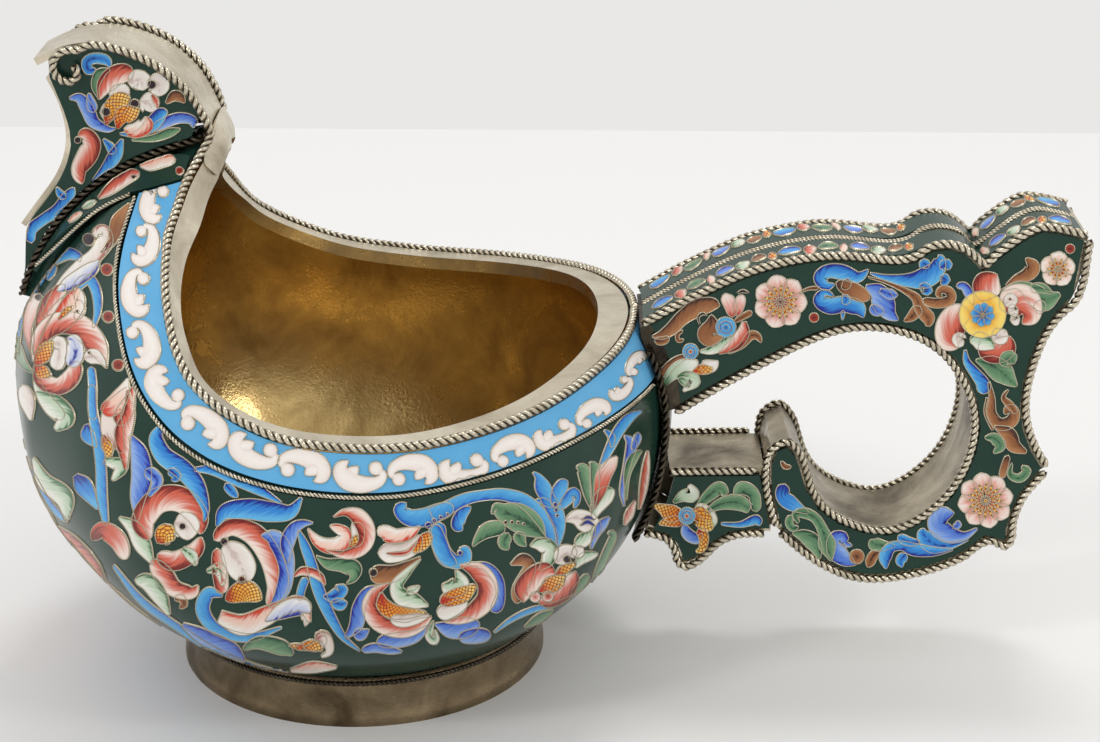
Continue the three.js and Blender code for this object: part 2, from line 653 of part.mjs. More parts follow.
function cheekColumns(edge, seamStart, rootInset, outer, inner, side) {
  const base = edge.map((_, i) => seamPoint(lerp(seamStart, cheekSeamEnd, i / (edge.length - 1))));
  const root = shifted(base.map((point) => new THREE.Vector2(point.x, point.z)), rootInset);
  return edge.map((top, i) => shareList(cheekRows).map((share) => {
    const x = lerp(root[i].x, top.x, share);
    const z = lerp(root[i].y, top.y, share);
    return [outer, inner].map((depth) => new THREE.Vector3(x, (cheekHalf(x, z) - depth) * side, z));
  }));
}
const plateInset = strapWall + seatGap;
const skinInset = edgeWireRadius + seatGap;
const plateEdge = [
  ...shifted(frontRun, -plateInset).slice(plateFrontSkip, -1), ...shifted(crestRun, -plateInset).slice(1, -1),
];
const skinEdge = [
  ...shifted(keelRun, -skinInset).slice(1), ...shifted(frontRun, -skinInset).slice(1, -1),
  ...shifted(crestRun, -skinInset).slice(1, -1),
];
sides.forEach(([name, side]) => {
  const backing = cheekColumns(
    plateEdge, plateSeamStart, plateInset, enamelDepth, enamelDepth + cheekWall, side,
  );
  addPiece(`prow_cheek_${name}`, plate(backing), silver());
  const skin = cheekColumns(skinEdge, skinSeamStart, seamGroove, 0, enamelThickness, side);
  addPiece(`prow_enamel_${name}`, plate(skin), darkEnamel());
});

// Strip of metal across the box section, following a run of the outline
function strap(points, thickness, halfWidthAt, settle = (point) => point) {
  const inner = shifted(points, -thickness).map(settle);
  return plate(points.map((point, i) => [-1, 1].map((side) => [
    new THREE.Vector3(point.x, side * halfWidthAt(point), point.y),
    new THREE.Vector3(inner[i].x, side * halfWidthAt(point), inner[i].y),
  ])));
}

const bandHalf = (point) => cheekHalf(point.x, point.y) - enamelThickness - seatGap;
addPiece("crest_band", strap(crestRun, strapWall, bandHalf), silver());
addPiece("prow_front_strip", strap(frontRun.slice(0, -1), frontWall, (point) => (
  Math.max(bandHalf(point), keelHalfWidth / 2)
)), silver());

// Crest wires, each ending in a curl on its cheek
sides.forEach(([name, side]) => {
  const centre = prowPlace(curlCentreShares);
  const curl = shareList(curlStations).map((share) => {
    const turn = THREE.MathUtils.degToRad(curlStartDeg + curlTurnDeg * share);
    const radius = lerp(curlRadius, curlEndRadius, share ** curlTightening);
    return new THREE.Vector2(centre.x + radius * Math.cos(turn), centre.y + radius * Math.sin(turn));
  });
  const along = [...crestRun].reverse().slice(1).filter((point) => point.x > curl[0].x + curlEndRadius);
  const route = [...along, ...curl].map((point) => (
    new THREE.Vector3(point.x, side * (cheekHalf(point.x, point.y) + edgeWireRadius + skinGap), point.y)
  ));
  addPiece(`crest_wire_${name}`, wire(route, crestWireRadius, wireSteps.crest), silver());
});

// Handle outline, cut where it meets the saddle
const saddleFace = skinGap + saddleWall + seatGap;
const saddleEdge = (height) => bowlRadius(0, height) + saddleFace;
function seatRun(from, to, count) {
  return shareList(count).map((share) => {
    const height = lerp(from, to, share);
    return new THREE.Vector2(saddleEdge(height), height);
  });
}

const runs = {
  top: runPoints(topRunShares, handlePlace, runFacets.top),
  peak: runPoints(peakRunShares, handlePlace, runFacets.peak),
  end: runPoints(endRunShares, handlePlace, runFacets.end),
  back: runPoints(backRunShares, handlePlace, runFacets.back),
  spur: runPoints(spurRunShares, handlePlace, runFacets.spur),
  notch: runPoints(notchRunShares, handlePlace, runFacets.notch),
  under: runPoints(underRunShares, handlePlace, runFacets.under),
  tongue: runPoints(tongueRunShares, handlePlace, runFacets.tongue),
  loop: runPoints(loopRunShares, handlePlace, runFacets.loop),
};
const joined = (...lists) => lists.flatMap((list, i) => (i === 0 ? list : list.slice(1)));
const outerRun = joined(runs.top, runs.peak, runs.end, runs.back, runs.spur, runs.notch, runs.under);
const innerRun = joined(runs.tongue, runs.loop);

// Part of a run that stands clear of the saddle, with its own point where the run meets it
const rootClearance = strapWall + edgeWireRadius;
function clearOfSaddle(points) {
  const spare = (point) => point.x - saddleEdge(point.y);
  return points.flatMap((point, i) => {
    const crossed = i > 0 && spare(point) * spare(points[i - 1]) < 0;
    const t = crossed ? spare(points[i - 1]) / (spare(points[i - 1]) - spare(point)) : 0;
    const edge = crossed ? [points[i - 1].clone().lerp(point, t)] : [];
    return spare(point) > rootClearance ? [...edge, point] : edge;
  });
}

// Flat plate from a closed outline in the XZ plane, between two distances from the middle
function flatPlate(points, near, far, side) {
  const shape = new THREE.Shape(points);
  const solid = new THREE.ExtrudeGeometry(shape, { depth: far - near, bevelEnabled: false });
  solid.rotateX(Math.PI / 2);
  solid.translate(0, side > 0 ? far : -near, 0);
  return solid;
}

function inset(points, distance) {
  const count = points.length;
  return points.map((point, i) => {
    const before = points[(i + count - 1) % count];
    const after = points[(i + 1) % count];
    const first = point.clone().sub(before).normalize();
    const second = after.clone().sub(point).normalize();
    const bisector = first.clone().add(second).normalize();
    const reach = distance / Math.max(first.dot(bisector), sharpestCorner);
    return new THREE.Vector2(point.x + bisector.y * reach, point.y - bisector.x * reach);
  });
}

const plateNear = strapHalfWidth - cheekWall;
const skinNear = strapHalfWidth + skinGap;
const skinFar = skinNear + enamelThickness;
const wireOffset = strapHalfWidth + seatGap + edgeWireRadius;

const handleOuter = clearOfSaddle(outerRun);
const handleInner = clearOfSaddle(innerRun);
const handleOutline = [
  ...handleOuter, ...handleInner.slice(1),
  ...seatRun(handleInner[handleInner.length - 1].y, handleOuter[0].y, seatFacets).slice(1, -1),
];
const bracketTop = runPoints(bracketTopShares, handlePlace, bracketFacets.top);
const bracketUnder = joined(
  runPoints(bracketDropShares, handlePlace, bracketFacets.drop),
  runPoints(bracketRiseShares, handlePlace, bracketFacets.rise),
);
const tongueSide = (height) => {
  const face = Math.max(runs.tongue.findIndex((point) => point.y >= height), 1);
  const [a, b] = [runs.tongue[face - 1], runs.tongue[face]];
  return lerp(a.x, b.x, (height - a.y) / (b.y - a.y)) - seatGap;
};
const bracketEnd = [bracketUnder[bracketUnder.length - 1].y, bracketTop[1].y];
const bracketOutline = [
  new THREE.Vector2(saddleEdge(bracketTop[0].y), bracketTop[0].y),
  new THREE.Vector2(tongueSide(bracketEnd[1]), bracketEnd[1]),
  new THREE.Vector2(tongueSide(bracketEnd[0]), bracketEnd[0]),
  ...clearOfSaddle(bracketUnder).reverse().slice(1),
  ...seatRun(bracketUnder[0].y, bracketTop[0].y, seatFacets).slice(1, -1),
];

sides.forEach(([name, side]) => {
  [["handle", handleOutline], ["bracket", bracketOutline]].forEach(([owner, outline]) => {
    const backing = inset(outline, strapWall + seatGap);
    addPiece(`${owner}_cheek_${name}`, flatPlate(backing, plateNear, strapHalfWidth, side), silver());
    const skin = inset(outline, edgeWireRadius + seatGap);
    addPiece(`${owner}_enamel_${name}`, flatPlate(skin, skinNear, skinFar, side), darkEnamel());
  });
});

// Part of a run left after cutting a length off either end
function trimmed(points, startCut, endCut) {
  const curve = new THREE.CurvePath();
  points.slice(1).forEach((point, i) => curve.add(new THREE.LineCurve(points[i], point)));
  const whole = curve.getLength();
  const ends = [startCut, whole - endCut];
  const reached = [0];
  points.slice(1).forEach((point, i) => reached.push(reached[i] + point.distanceTo(points[i])));
  const kept = points.filter((_, i) => reached[i] > ends[0] + seatGap && reached[i] < ends[1] - seatGap);
  return [curve.getPointAt(ends[0] / whole), ...kept, curve.getPointAt(ends[1] / whole)];
}

// Straps close the box sections; each follows its run and stops short of its neighbours
const corner = strapWall + seatGap;
const handleTop = clearOfSaddle(joined(runs.top, runs.peak));
const handleBack = joined(runs.end, runs.back);
const handleUnder = joined(runs.spur, runs.notch, runs.under);
const handleLoop = clearOfSaddle(joined(runs.tongue, runs.loop));
const bracketSlope = [bracketOutline[0], bracketOutline[1]];
const bracketBelly = clearOfSaddle(bracketUnder);
const settle = (point) => new THREE.Vector2(Math.max(point.x, saddleEdge(point.y)), point.y);

function addStrap(name, points, startCut, endCut, thickness) {
  const run = trimmed(points, startCut, endCut).map(settle);
  addPiece(name, strap(run, thickness, () => strapHalfWidth, settle), silver());
}
addStrap("handle_top_strap", shifted(handleTop, -topSink), 0, 0, strapWall - topSink);
addStrap("handle_back_strap", handleBack, corner, seatGap / 2, strapWall);
addStrap("handle_under_strap", handleUnder, corner, seatGap / 2, strapWall);
addStrap("handle_inner_strap", handleLoop, corner, 0, strapWall);
addStrap("bracket_top_strap", bracketSlope, 0, 0, strapWall);
addStrap("bracket_under_strap", [...bracketBelly].reverse(), seatGap, 0, strapWall);

// Edge ropes beside the straps
function edgeRope(points, steps, side) {
  const route = points.map((point) => new THREE.Vector3(point.x, side * wireOffset, point.y));
  return wire(route, edgeWireRadius, steps);
}
const ropeCut = edgeWireRadius + seatGap / 2;
sides.forEach(([name, side]) => {
  [
    ["handle_top", handleTop, 0, ropeCut], ["handle_back", handleBack, ropeCut, ropeCut],
    ["handle_under", handleUnder, ropeCut, ropeCut], ["handle_inner", handleLoop, ropeCut, 0],
    ["bracket_top", bracketSlope, 0, ropeCut + edgeWireRadius],
    ["bracket_under", bracketBelly, 0, ropeCut * 2],
  ].forEach(([owner, points, startCut, endCut]) => {
    const rope = edgeRope(trimmed(points, startCut, endCut), wireSteps[owner], side);
    addPiece(`${owner}_wire_${name}`, rope, silver());
  });

  // Two lanes of enamel along the top, with a pair of fine wires between them
  const lane = trimmed(handleTop, seatGap, corner);
  const [laneTop, laneFoot] = [shifted(lane, topRise), shifted(lane, seatGap - topSink)];
  const enamel = lane.map((_, i) => [laneStart, strapHalfWidth].map((y) => [laneTop, laneFoot].map((run) => (
    new THREE.Vector3(run[i].x, side * y, run[i].y)
  ))));
  addPiece(`handle_top_enamel_${name}`, plate(enamel), darkEnamel());
  const bead = shifted(lane, strapWireRadius + seatGap - topSink);
  const beadOffset = strapWireRadius + seatGap / 2;
  addPiece(`handle_ridge_wire_${name}`, wire(
    bead.map((point) => new THREE.Vector3(point.x, side * beadOffset, point.y)),
    strapWireRadius, bead.length - 1,
  ), silver());
});

// Saddle plate on the bowl under the rim, edged by dark ropes
const saddleTurn = THREE.MathUtils.radToDeg(Math.asin(saddleHalfWidth / bowlHalfWidth));
const saddleLevels = shareList(saddleRows).map((share) => lerp(saddleFoot, saddleHead, share));
const saddlePlate = shareList(saddleColumns).map((share) => {
  const azimuth = lerp(-saddleTurn, saddleTurn, share);
  return saddleLevels.map((height) => [skinGap + saddleWall, skinGap].map((lift) => (
    onBowl([Math.abs(azimuth), height], lift, Math.sign(azimuth))
  )));
});
addPiece("mount_plate", plate(saddlePlate), oxide());
sides.forEach(([name, side]) => {
  const route = saddleLevels.map((height) => {
    const lift = skinGap + mountWireRadius;
    const azimuth = saddleTurn + THREE.MathUtils.radToDeg((mountWireRadius + seatGap) / bowlHalfWidth);
    return onBowl([azimuth, height], lift, side);
  });
  addPiece(`mount_wire_${name}`, wire(route, mountWireRadius, wireSteps.mount), oxide());
});

ladle.updateMatrixWorld(true);
const middle = new THREE.Box3().setFromObject(ladle).getCenter(new THREE.Vector3());
ladle.position.set(-middle.x, 0, 0);

export default ladle;
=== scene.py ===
import math
import bpy
import bmesh
import numpy as np
from mathutils import Matrix, Vector
from mathutils.bvhtree import BVHTree
from mathutils.kdtree import KDTree


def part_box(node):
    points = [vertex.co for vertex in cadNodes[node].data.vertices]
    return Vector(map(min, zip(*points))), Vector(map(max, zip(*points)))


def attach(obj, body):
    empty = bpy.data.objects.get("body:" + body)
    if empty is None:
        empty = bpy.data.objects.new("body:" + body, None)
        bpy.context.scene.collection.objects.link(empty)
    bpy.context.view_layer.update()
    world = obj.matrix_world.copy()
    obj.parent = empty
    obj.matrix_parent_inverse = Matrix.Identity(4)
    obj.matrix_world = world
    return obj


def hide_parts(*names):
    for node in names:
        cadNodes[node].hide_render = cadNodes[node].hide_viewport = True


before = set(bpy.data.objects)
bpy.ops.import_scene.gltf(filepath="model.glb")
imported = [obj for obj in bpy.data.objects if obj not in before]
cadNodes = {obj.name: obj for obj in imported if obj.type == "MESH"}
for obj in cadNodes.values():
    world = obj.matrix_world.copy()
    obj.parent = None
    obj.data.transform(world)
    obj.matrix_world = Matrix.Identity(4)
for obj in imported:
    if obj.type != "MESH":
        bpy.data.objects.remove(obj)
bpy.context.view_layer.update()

mm = 0.001
sides = {"left": -1, "right": 1}
footLow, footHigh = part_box("foot_ring")
footMiddle = (footLow + footHigh) / 2

# The photograph's size and focal length in pixels, and the camera's place from the middle of the foot
photo = {
    "width": 1100, "height": 742, "focal": 2440.0, "sensor": 36.0,
    "ahead": 37.1 * mm, "away": 440 * mm, "up": 233 * mm,
    "pitchDeg": 21.65, "rollDeg": 0.35,
}

# Colours as they look on screen, 0 to 255
paint = {
    "ground": (36, 66, 55), "groundDeep": (22, 48, 40),
    "sky": (78, 160, 212), "skyPale": (116, 184, 226),
    "silverPale": (228, 218, 196), "silverDark": (112, 98, 74),
    # the groove tone is painted shade between a rope's strands
    "grooveShadeTone": (44, 36, 26), "netLine": (142, 26, 14), "cloisonBeadShade": (150, 138, 112),
    "gilt": (216, 187, 127), "giltDark": (142, 112, 66),
    # the strap tones are the silver given painted shade, for the straps that lie in shade
    "strap": (180, 168, 145), "shadedStrapDark": (76, 67, 52),
    "oxide": (92, 84, 72), "oxideDark": (30, 27, 23),
    "tarnish": (150, 132, 104), "tarnishDark": (66, 54, 38),
    "table": (232, 231, 229), "wall": (233, 232, 230),
}


def toLinear(tone):
    channels = [value / 255 for value in tone]
    return [c / 12.92 if c <= 0.04045 else ((c + 0.055) / 1.055) ** 2.4 for c in channels]


def colour(name):
    return (*toLinear(paint[name]), 1.0)


# Nodes

def addNode(tree, kind, settings=None, **values):
    node = tree.nodes.new(kind)
    for key, value in (settings or {}).items():
        setattr(node, key, value)
    for key, value in values.items():
        node.inputs[key].default_value = value
    return node


def joinUp(tree, *links):  # each link: node, its output, node, its input
    for source, outlet, target, inlet in links:
        tree.links.new(source.outputs[outlet], target.inputs[inlet])


def mathNode(tree, operation, second=None, third=None):
    node = addNode(tree, "ShaderNodeMath", {"operation": operation})
    for inlet, value in ((1, second), (2, third)):
        if value is not None:
            node.inputs[inlet].default_value = value
    return node


def mixNode(tree, first=None, second=None):
    node = addNode(tree, "ShaderNodeMix", {"data_type": "RGBA"})
    for inlet, name in (("A", first), ("B", second)):
        if name:
            node.inputs[inlet].default_value = colour(name)
    return node


def softRange(tree, **limits):
    return addNode(tree, "ShaderNodeMapRange", {"interpolation_type": "SMOOTHSTEP"}, **limits)


def attributeNode(tree, name):
    return addNode(tree, "ShaderNodeAttribute", {"attribute_name": name})


def newGroup(name, inputs, outputs):
    group = bpy.data.node_groups.new(name, "ShaderNodeTree")
    for label, kind, value in inputs:
        socket = group.interface.new_socket(name=label, in_out="INPUT", socket_type="NodeSocket" + kind)
        socket.default_value = value
    for label, kind in outputs:
        group.interface.new_socket(name=label, in_out="OUTPUT", socket_type="NodeSocket" + kind)
    return group, group.nodes.new("NodeGroupInput"), group.nodes.new("NodeGroupOutput")


def newMaterial(name, **values):
    material = bpy.data.materials.new(name)
    material.use_nodes = True
    shader = material.node_tree.nodes["Principled BSDF"]
    for key, value in values.items():
        shader.inputs[key].default_value = value
    return material, material.node_tree, shader


def addRelief(tree, shader, source, outlet, strength, depth):
    relief = addNode(tree, "ShaderNodeBump", Strength=strength, Distance=depth)
    joinUp(tree, (source, outlet, relief, "Height"), (relief, "Normal", shader, "Normal"))


# Clouds of tarnish, a roughness that follows them, and a fine grain
def makeMetalWear():
    group, start, end = newGroup("metalWear", [
        ("Bright", "Color", (0.8, 0.8, 0.8, 1)), ("Dull", "Color", (0.1, 0.1, 0.1, 1)),
        ("Scale", "Float", 60.0), ("Amount", "Float", 0.5), ("Grit", "Float", 900.0),
    ], [("Colour", "Color"), ("Roughness", "Float"), ("Height", "Float")])
    place = addNode(group, "ShaderNodeTexCoord")
    cloud = addNode(group, "ShaderNodeTexNoise", Detail=6.0, Roughness=0.62, Distortion=0.4)
    grit = addNode(group, "ShaderNodeTexNoise", Detail=3.0, Roughness=0.6)
    spread = addNode(group, "ShaderNodeMapRange", **{"From Min": 0.35, "From Max": 0.68})
    share = mathNode(group, "MULTIPLY")
    mix = mixNode(group)
    rough = addNode(group, "ShaderNodeMapRange", **{"To Min": 0.2, "To Max": 0.46})
    joinUp(
        group,
        (place, "Object", cloud, "Vector"), (place, "Object", grit, "Vector"),
        (start, "Scale", cloud, "Scale"), (start, "Grit", grit, "Scale"),
        (cloud, "Fac", spread, "Value"), (spread, "Result", share, 0), (start, "Amount", share, 1),
        (share, "Value", mix, "Factor"), (start, "Bright", mix, "A"), (start, "Dull", mix, "B"),
        (spread, "Result", rough, "Value"),
        (mix, "Result", end, "Colour"), (rough, "Result", end, "Roughness"), (grit, "Fac", end, "Height"),
    )
    return group


metalWear = makeMetalWear()


# A metal's bright and dull colours, the scale and strength of its clouds, and its grain. A rope shows no grain:
# instead it is given painted shade between its strands.
def metal(name, bright, dull, scale, amount, grit=None, bump=None):
    material, tree, shader = newMaterial(name, Metallic=1.0)
    wear = addNode(
        tree, "ShaderNodeGroup", {"node_tree": metalWear},
        Bright=colour(bright), Dull=colour(dull), Scale=scale, Amount=amount,
    )
    joinUp(tree, (wear, "Roughness", shader, "Roughness"))
    if grit:
        wear.inputs["Grit"].default_value = grit
        joinUp(tree, (wear, "Colour", shader, "Base Color"))
        addRelief(tree, shader, wear, "Height", bump, 0.2 * mm)
        return material
    # painted shade: the nearer a point lies to the rope's middle line, the more of the groove tone it takes
    proud, paintedGrooveShade = attributeNode(tree, "proud"), mixNode(tree, "grooveShadeTone")
    joinUp(
        tree, (proud, "Fac", paintedGrooveShade, "Factor"), (wear, "Colour", paintedGrooveShade, "B"),
        (paintedGrooveShade, "Result", shader, "Base Color"),
    )
    return material


silver = metal("silverGilt", "silverPale", "silverDark", 90.0, 0.55, 2200.0, 0.25)
# A darker copy of the silver for the inner strap of the loop and the bracket's top strap: painted shade
shadedStrapSilver = metal("shadedStrapSilver", "strap", "shadedStrapDark", 70.0, 0.8, 2200.0, 0.3)
gilt = metal("mottledGilt", "gilt", "giltDark", 55.0, 0.95, 1500.0, 0.4)
oxide = metal("darkBraid", "oxide", "oxideDark", 160.0, 0.8, 2500.0, 0.5)
footSilver = metal("footSilver", "tarnish", "tarnishDark", 70.0, 0.9, 2200.0, 0.5)
silverRope = metal("silverRope", "silverPale", "silverDark", 160.0, 0.5)
oxideRope = metal("oxideRope", "oxide", "oxideDark", 160.0, 0.6)


def enamel(name, light, deep, scale):
    material, tree, shader = newMaterial(name, **{
        "Specular IOR Level": 0.16, "Coat Weight": 0.1, "Coat Roughness": 0.06, "Roughness": 0.22,
    })
    place = addNode(tree, "ShaderNodeTexCoord")
    cloud = addNode(tree, "ShaderNodeTexNoise", Scale=scale, Detail=5.0, Roughness=0.6)
    pits = addNode(tree, "ShaderNodeTexNoise", Scale=1600.0, Detail=2.0)
    mix = mixNode(tree, light, deep)
    joinUp(
        tree, (place, "Object", cloud, "Vector"), (place, "Object", pits, "Vector"),
        (cloud, "Fac", mix, "Factor"), (mix, "Result", shader, "Base Color"),
    )
    addRelief(tree, shader, pits, "Fac", 0.12, 0.1 * mm)
    return material


groundEnamel = enamel("greenGround", "ground", "groundDeep", 120.0)
skyEnamel = enamel("paleBlueGround", "sky", "skyPale", 90.0)
print("materials made")


# Smooth pieces made from the solids

def addObject(name, data):
    added = bpy.data.objects.new(name, data)
    bpy.context.scene.collection.objects.link(added)
    return added


def addPiece(name, mesh, material, slot, *replaced):
    mesh.materials.clear()
    mesh.materials.append(material)
    piece = addObject(name, mesh)
    if replaced:
        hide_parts(*replaced)
    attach(piece, "root")


def smoothShaded(mesh, creaseDeg=None):
    for face in mesh.polygons:
        face.use_smooth = True
    if creaseDeg:
        mesh.set_sharp_from_angle(angle=math.radians(creaseDeg))
    return mesh


def finished(carrier, creaseDeg=None):
    mesh = bpy.data.meshes.new_from_object(carrier.evaluated_get(bpy.context.evaluated_depsgraph_get()))
    bpy.data.objects.remove(carrier)
    return smoothShaded(mesh, creaseDeg)


def subdivide(carrier, levels):
    finer = carrier.modifiers.new("finer", "SUBSURF")
    finer.levels = finer.render_levels = levels


def mergedMesh(node):
    shape = bmesh.new()
    shape.from_mesh(cadNodes[node].data)
    bmesh.ops.remove_doubles(shape, verts=shape.verts, dist=1e-6)
    return shape


def toMesh(shape, name):
    mesh = bpy.data.meshes.new(name)
    shape.to_mesh(mesh)
    shape.free()
    return mesh


def besideMiddle(spot, turn):  # a place in mm, given on the left, on the side that turn names
    return Vector((spot[0], spot[1] * -turn, spot[2])) * mm


rounding = {"levels": 2, "creaseDeg": 36, "joinDeg": 30, "shapeDeg": 80, "cornerReach": 0.4}


def rounded(node, moved):
    shape = mergedMesh(node)
    for near, shift in moved:
        for vert in shape.verts:
            turn = 1 if vert.co.y > 0 else -1
            spot = Vector((vert.co.x, -abs(vert.co.y), vert.co.z)) / mm
            if (spot - Vector(near)).length < rounding["cornerReach"]:
                vert.co += besideMiddle(shift, turn)
    bmesh.ops.join_triangles(
        shape, faces=shape.faces, angle_face_threshold=math.radians(rounding["joinDeg"]),
        angle_shape_threshold=math.radians(rounding["shapeDeg"]),
    )
    crease = shape.edges.layers.float.new("crease_edge")
    for edge in shape.edges:
        if len(edge.link_faces) == 2 and edge.calc_face_angle(0) > math.radians(rounding["creaseDeg"]):
            edge[crease] = 1.0
    carrier = addObject("carrier", toMesh(shape, node + "Smooth"))
    subdivide(carrier, rounding["levels"])
    return finished(carrier, rounding["creaseDeg"])


smoothParts = [
    ("bowl_shell", gilt, "gilt_interior"), ("rim_band", silver, "silver_band"),
    ("foot_ring", footSilver, "foot_silver"),
    ("crest_band", silver, "silver_band"), ("prow_front_strip", silver, "silver_band"),
    ("handle_top_strap", silver, "silver_band"), ("handle_back_strap", silver, "silver_band"),
    # the inner strap and the bracket's top strap take the darker strap silver, which is painted shade
    ("handle_under_strap", silver, "silver_band"), ("handle_inner_strap", shadedStrapSilver, "silver_band"),
    ("bracket_top_strap", shadedStrapSilver, "silver_band"), ("bracket_under_strap", silver, "silver_band"),
    ("mount_plate", oxide, "oxidised_silver"),
]
enamelParts = ("bowl", "border", "collar", "prow", "handle_top")
for side in sides:
    smoothParts += [
        (f"{part}_enamel_{side}", skyEnamel if part == "border" else groundEnamel, "enamel_" + part)
        for part in enamelParts
    ]
# Under the crest the rim band turns up steeply: these corners of it are eased, each (place, shift) in mm
easedCorners = {
    "rim_band": [
        ((-57.31, -9.3, 101.46), (-2.45, -0.7, -1.55)), ((-58.54, -8.16, 101.75), (-2.45, -0.7, -1.55)),
        ((-59.06, -7.1, 101.21), (-2.45, -0.9, -1.55)), ((-58.34, -7.17, 100.38), (-2.45, -0.9, -1.55)),
        ((-57.64, -3.44, 103.19), (-1.25, -1.35, -0.3)), ((-59.28, -3.77, 103.54), (-1.25, -1.35, -0.3)),
        ((-60.46, -3.62, 103.01), (-1.25, -1.35, -0.3)), ((-60.0, -3.15, 102.13), (-1.25, -1.35, -0.3)),
        ((-59.76, -5.65, 107.26), (-1.0, -0.4, 0.3)), ((-60.6, -5.15, 106.09), (-1.0, -0.4, 0.3)),
    ],
}
smoothMeshes = {}
for node, material, slot in smoothParts:
    smoothMeshes[node] = rounded(node, easedCorners.get(node, ()))
    if node != "bowl_shell":
        addPiece(node + "Fine", smoothMeshes[node], material, slot, node)

# The bowl's wall is gilt inside, and outside the ground enamel runs on between the panels
wallSplit = {"edgeDeg": 66, "levelFace": 0.9, "sliverPasses": 6, "awayShare": 0.5, "creaseDeg": 40}


# The inside is what can be reached from the bottom of the bowl without turning a sharp edge
def insideOf(skin):
    low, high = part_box("bowl_shell")
    bottom = Vector(((low.x + high.x) / 2, 0, low.z))
    heart = Vector((bottom.x, 0, (low.z + high.z) / 2))
    seed = min(
        (face for face in skin.faces if face.normal.z > wallSplit["levelFace"]),
        key=lambda face: (face.calc_center_median() - bottom).length,
    )
    inside, front = {seed}, [seed]
    while front:
        for edge in front.pop().edges:
            if len(edge.link_faces) == 2 and edge.calc_face_angle(0) < math.radians(wallSplit["edgeDeg"]):
                fresh = [face for face in edge.link_faces if face not in inside]
                inside.update(fresh)
                front += fresh
    for _ in range(wallSplit["sliverPasses"]):  # slivers between faces of the inside belong to it
        inside |= {
            face for face in skin.faces if face not in inside
            and 2 * sum(any(f in inside for f in e.link_faces if f is not face) for e in face.edges) > len(face.edges)
        }
    return {
        face for face in inside
        if face.normal.dot((face.calc_center_median() - heart).normalized()) < wallSplit["awayShare"]
    }


def wallSkin(name, outside):
    skin = bmesh.new()
    skin.from_mesh(smoothMeshes["bowl_shell"])
    inside = insideOf(skin)
    gone = [face for face in skin.faces if (face in inside) == outside]
    print(name, "keeps", len(skin.faces) - len(gone), "of", len(skin.faces), "faces")
    bmesh.ops.delete(skin, geom=gone, context="FACES")
    mesh = toMesh(skin, name)
    mesh.set_sharp_from_angle(angle=math.radians(wallSplit["creaseDeg"]))
    return mesh


addPiece("bowlInside", wallSkin("bowlInside", False), gilt, "gilt_interior", "bowl_shell")
addPiece("bowlOutside", wallSkin("bowlOutside", True), groundEnamel, "enamel_bowl")

# The prow's cheeks carry the ground enamel right to their edge
cheekSkin = {"proud": 0.06 * mm, "facing": 0.7}
for side, turn in sides.items():
    field = mergedMesh(f"prow_cheek_{side}")
    hidden = [face for face in field.faces if face.normal.y * turn < cheekSkin["facing"]]
    bmesh.ops.delete(field, geom=hidden, context="FACES")
    for vert in field.verts:
        vert.co.y += turn * cheekSkin["proud"]
    mesh = toMesh(field, "prowField" + side.title())
    addPiece(mesh.name, mesh, groundEnamel, "enamel_prow")

plainParts = {
    "handle_enamel": groundEnamel, "bracket_enamel": groundEnamel,
    "handle_cheek": silver, "bracket_cheek": silver, "prow_cheek": silver,
}
for stem, material in plainParts.items():
    for side in sides:
        plain = cadNodes[f"{stem}_{side}"].data
        plain.materials.clear()
        plain.materials.append(material)


def gridFaces(rows, columns, closed=False, first=0):
    across = [(c, (c + 1) % columns) for c in range(columns if closed else columns - 1)]
    rowStarts = [first + r * columns for r in range(rows - 1)]
    return [
        (start + c, start + d, start + columns + d, start + columns + c)
        for start in rowStarts for c, d in across
    ]


# The saddle where the crest band folds over into the rim: a row of (x, y, z) for each line across, in mm
saddle = {
    "rows": [
        [(-62.6, -11.3, 103.7), (-61.3, -8.3, 106.9), (-60.75, -6.7, 109.2), (-60.7, -3.3, 109.35), (-60.7, 0, 109.4)],
        [(-61.9, -11.1, 102.6), (-60.4, -8.1, 105.6), (-59.75, -6.4, 107.6), (-59.6, -3.2, 108.1), (-59.6, 0, 108.3)],
        [(-60.7, -10.6, 101.3), (-59.5, -8.0, 103.8), (-58.75, -5.9, 105.4), (-58.55, -3.1, 106.1), (-58.6, 0, 106.4)],
        [(-60.0, -10.1, 100.2), (-59.3, -7.6, 102.1), (-58.7, -5.2, 103.4), (-58.6, -2.8, 104.3), (-58.9, 0, 104.7)],
    ],
    "levels": 3, "thickness": 0.5 * mm, "creaseDeg": 50,
}
rows = [[*row, *[(x, -y, z) for x, y, z in row[-2::-1]]] for row in saddle["rows"]]
mesh = bpy.data.meshes.new("crestSaddle")
mesh.from_pydata([Vector(spot) * mm for row in rows for spot in row], [], gridFaces(len(rows), len(rows[0])))
carrier = addObject("carrier", mesh)
subdivide(carrier, saddle["levels"])
wall = carrier.modifiers.new("wall", "SOLIDIFY")
wall.thickness, wall.offset = saddle["thickness"], -1
addPiece("crestSaddle", finished(carrier, saddle["creaseDeg"]), silver, "silver_band")


def closedLoops(name, loops):  # a solid through loops of places in mm, closed at both ends
    wide = len(loops[0])
    last = (len(loops) - 1) * wide
    faces = gridFaces(len(loops), wide, closed=True)
    faces += [tuple(reversed(range(wide))), tuple(range(last, last + wide))]
    shape = bmesh.new()
    corners = [shape.verts.new(Vector(spot) * mm) for loop in loops for spot in loop]
    for face in faces:
        shape.faces.new([corners[k] for k in face])
    bmesh.ops.recalc_face_normals(shape, faces=shape.faces)
    return toMesh(shape, name)


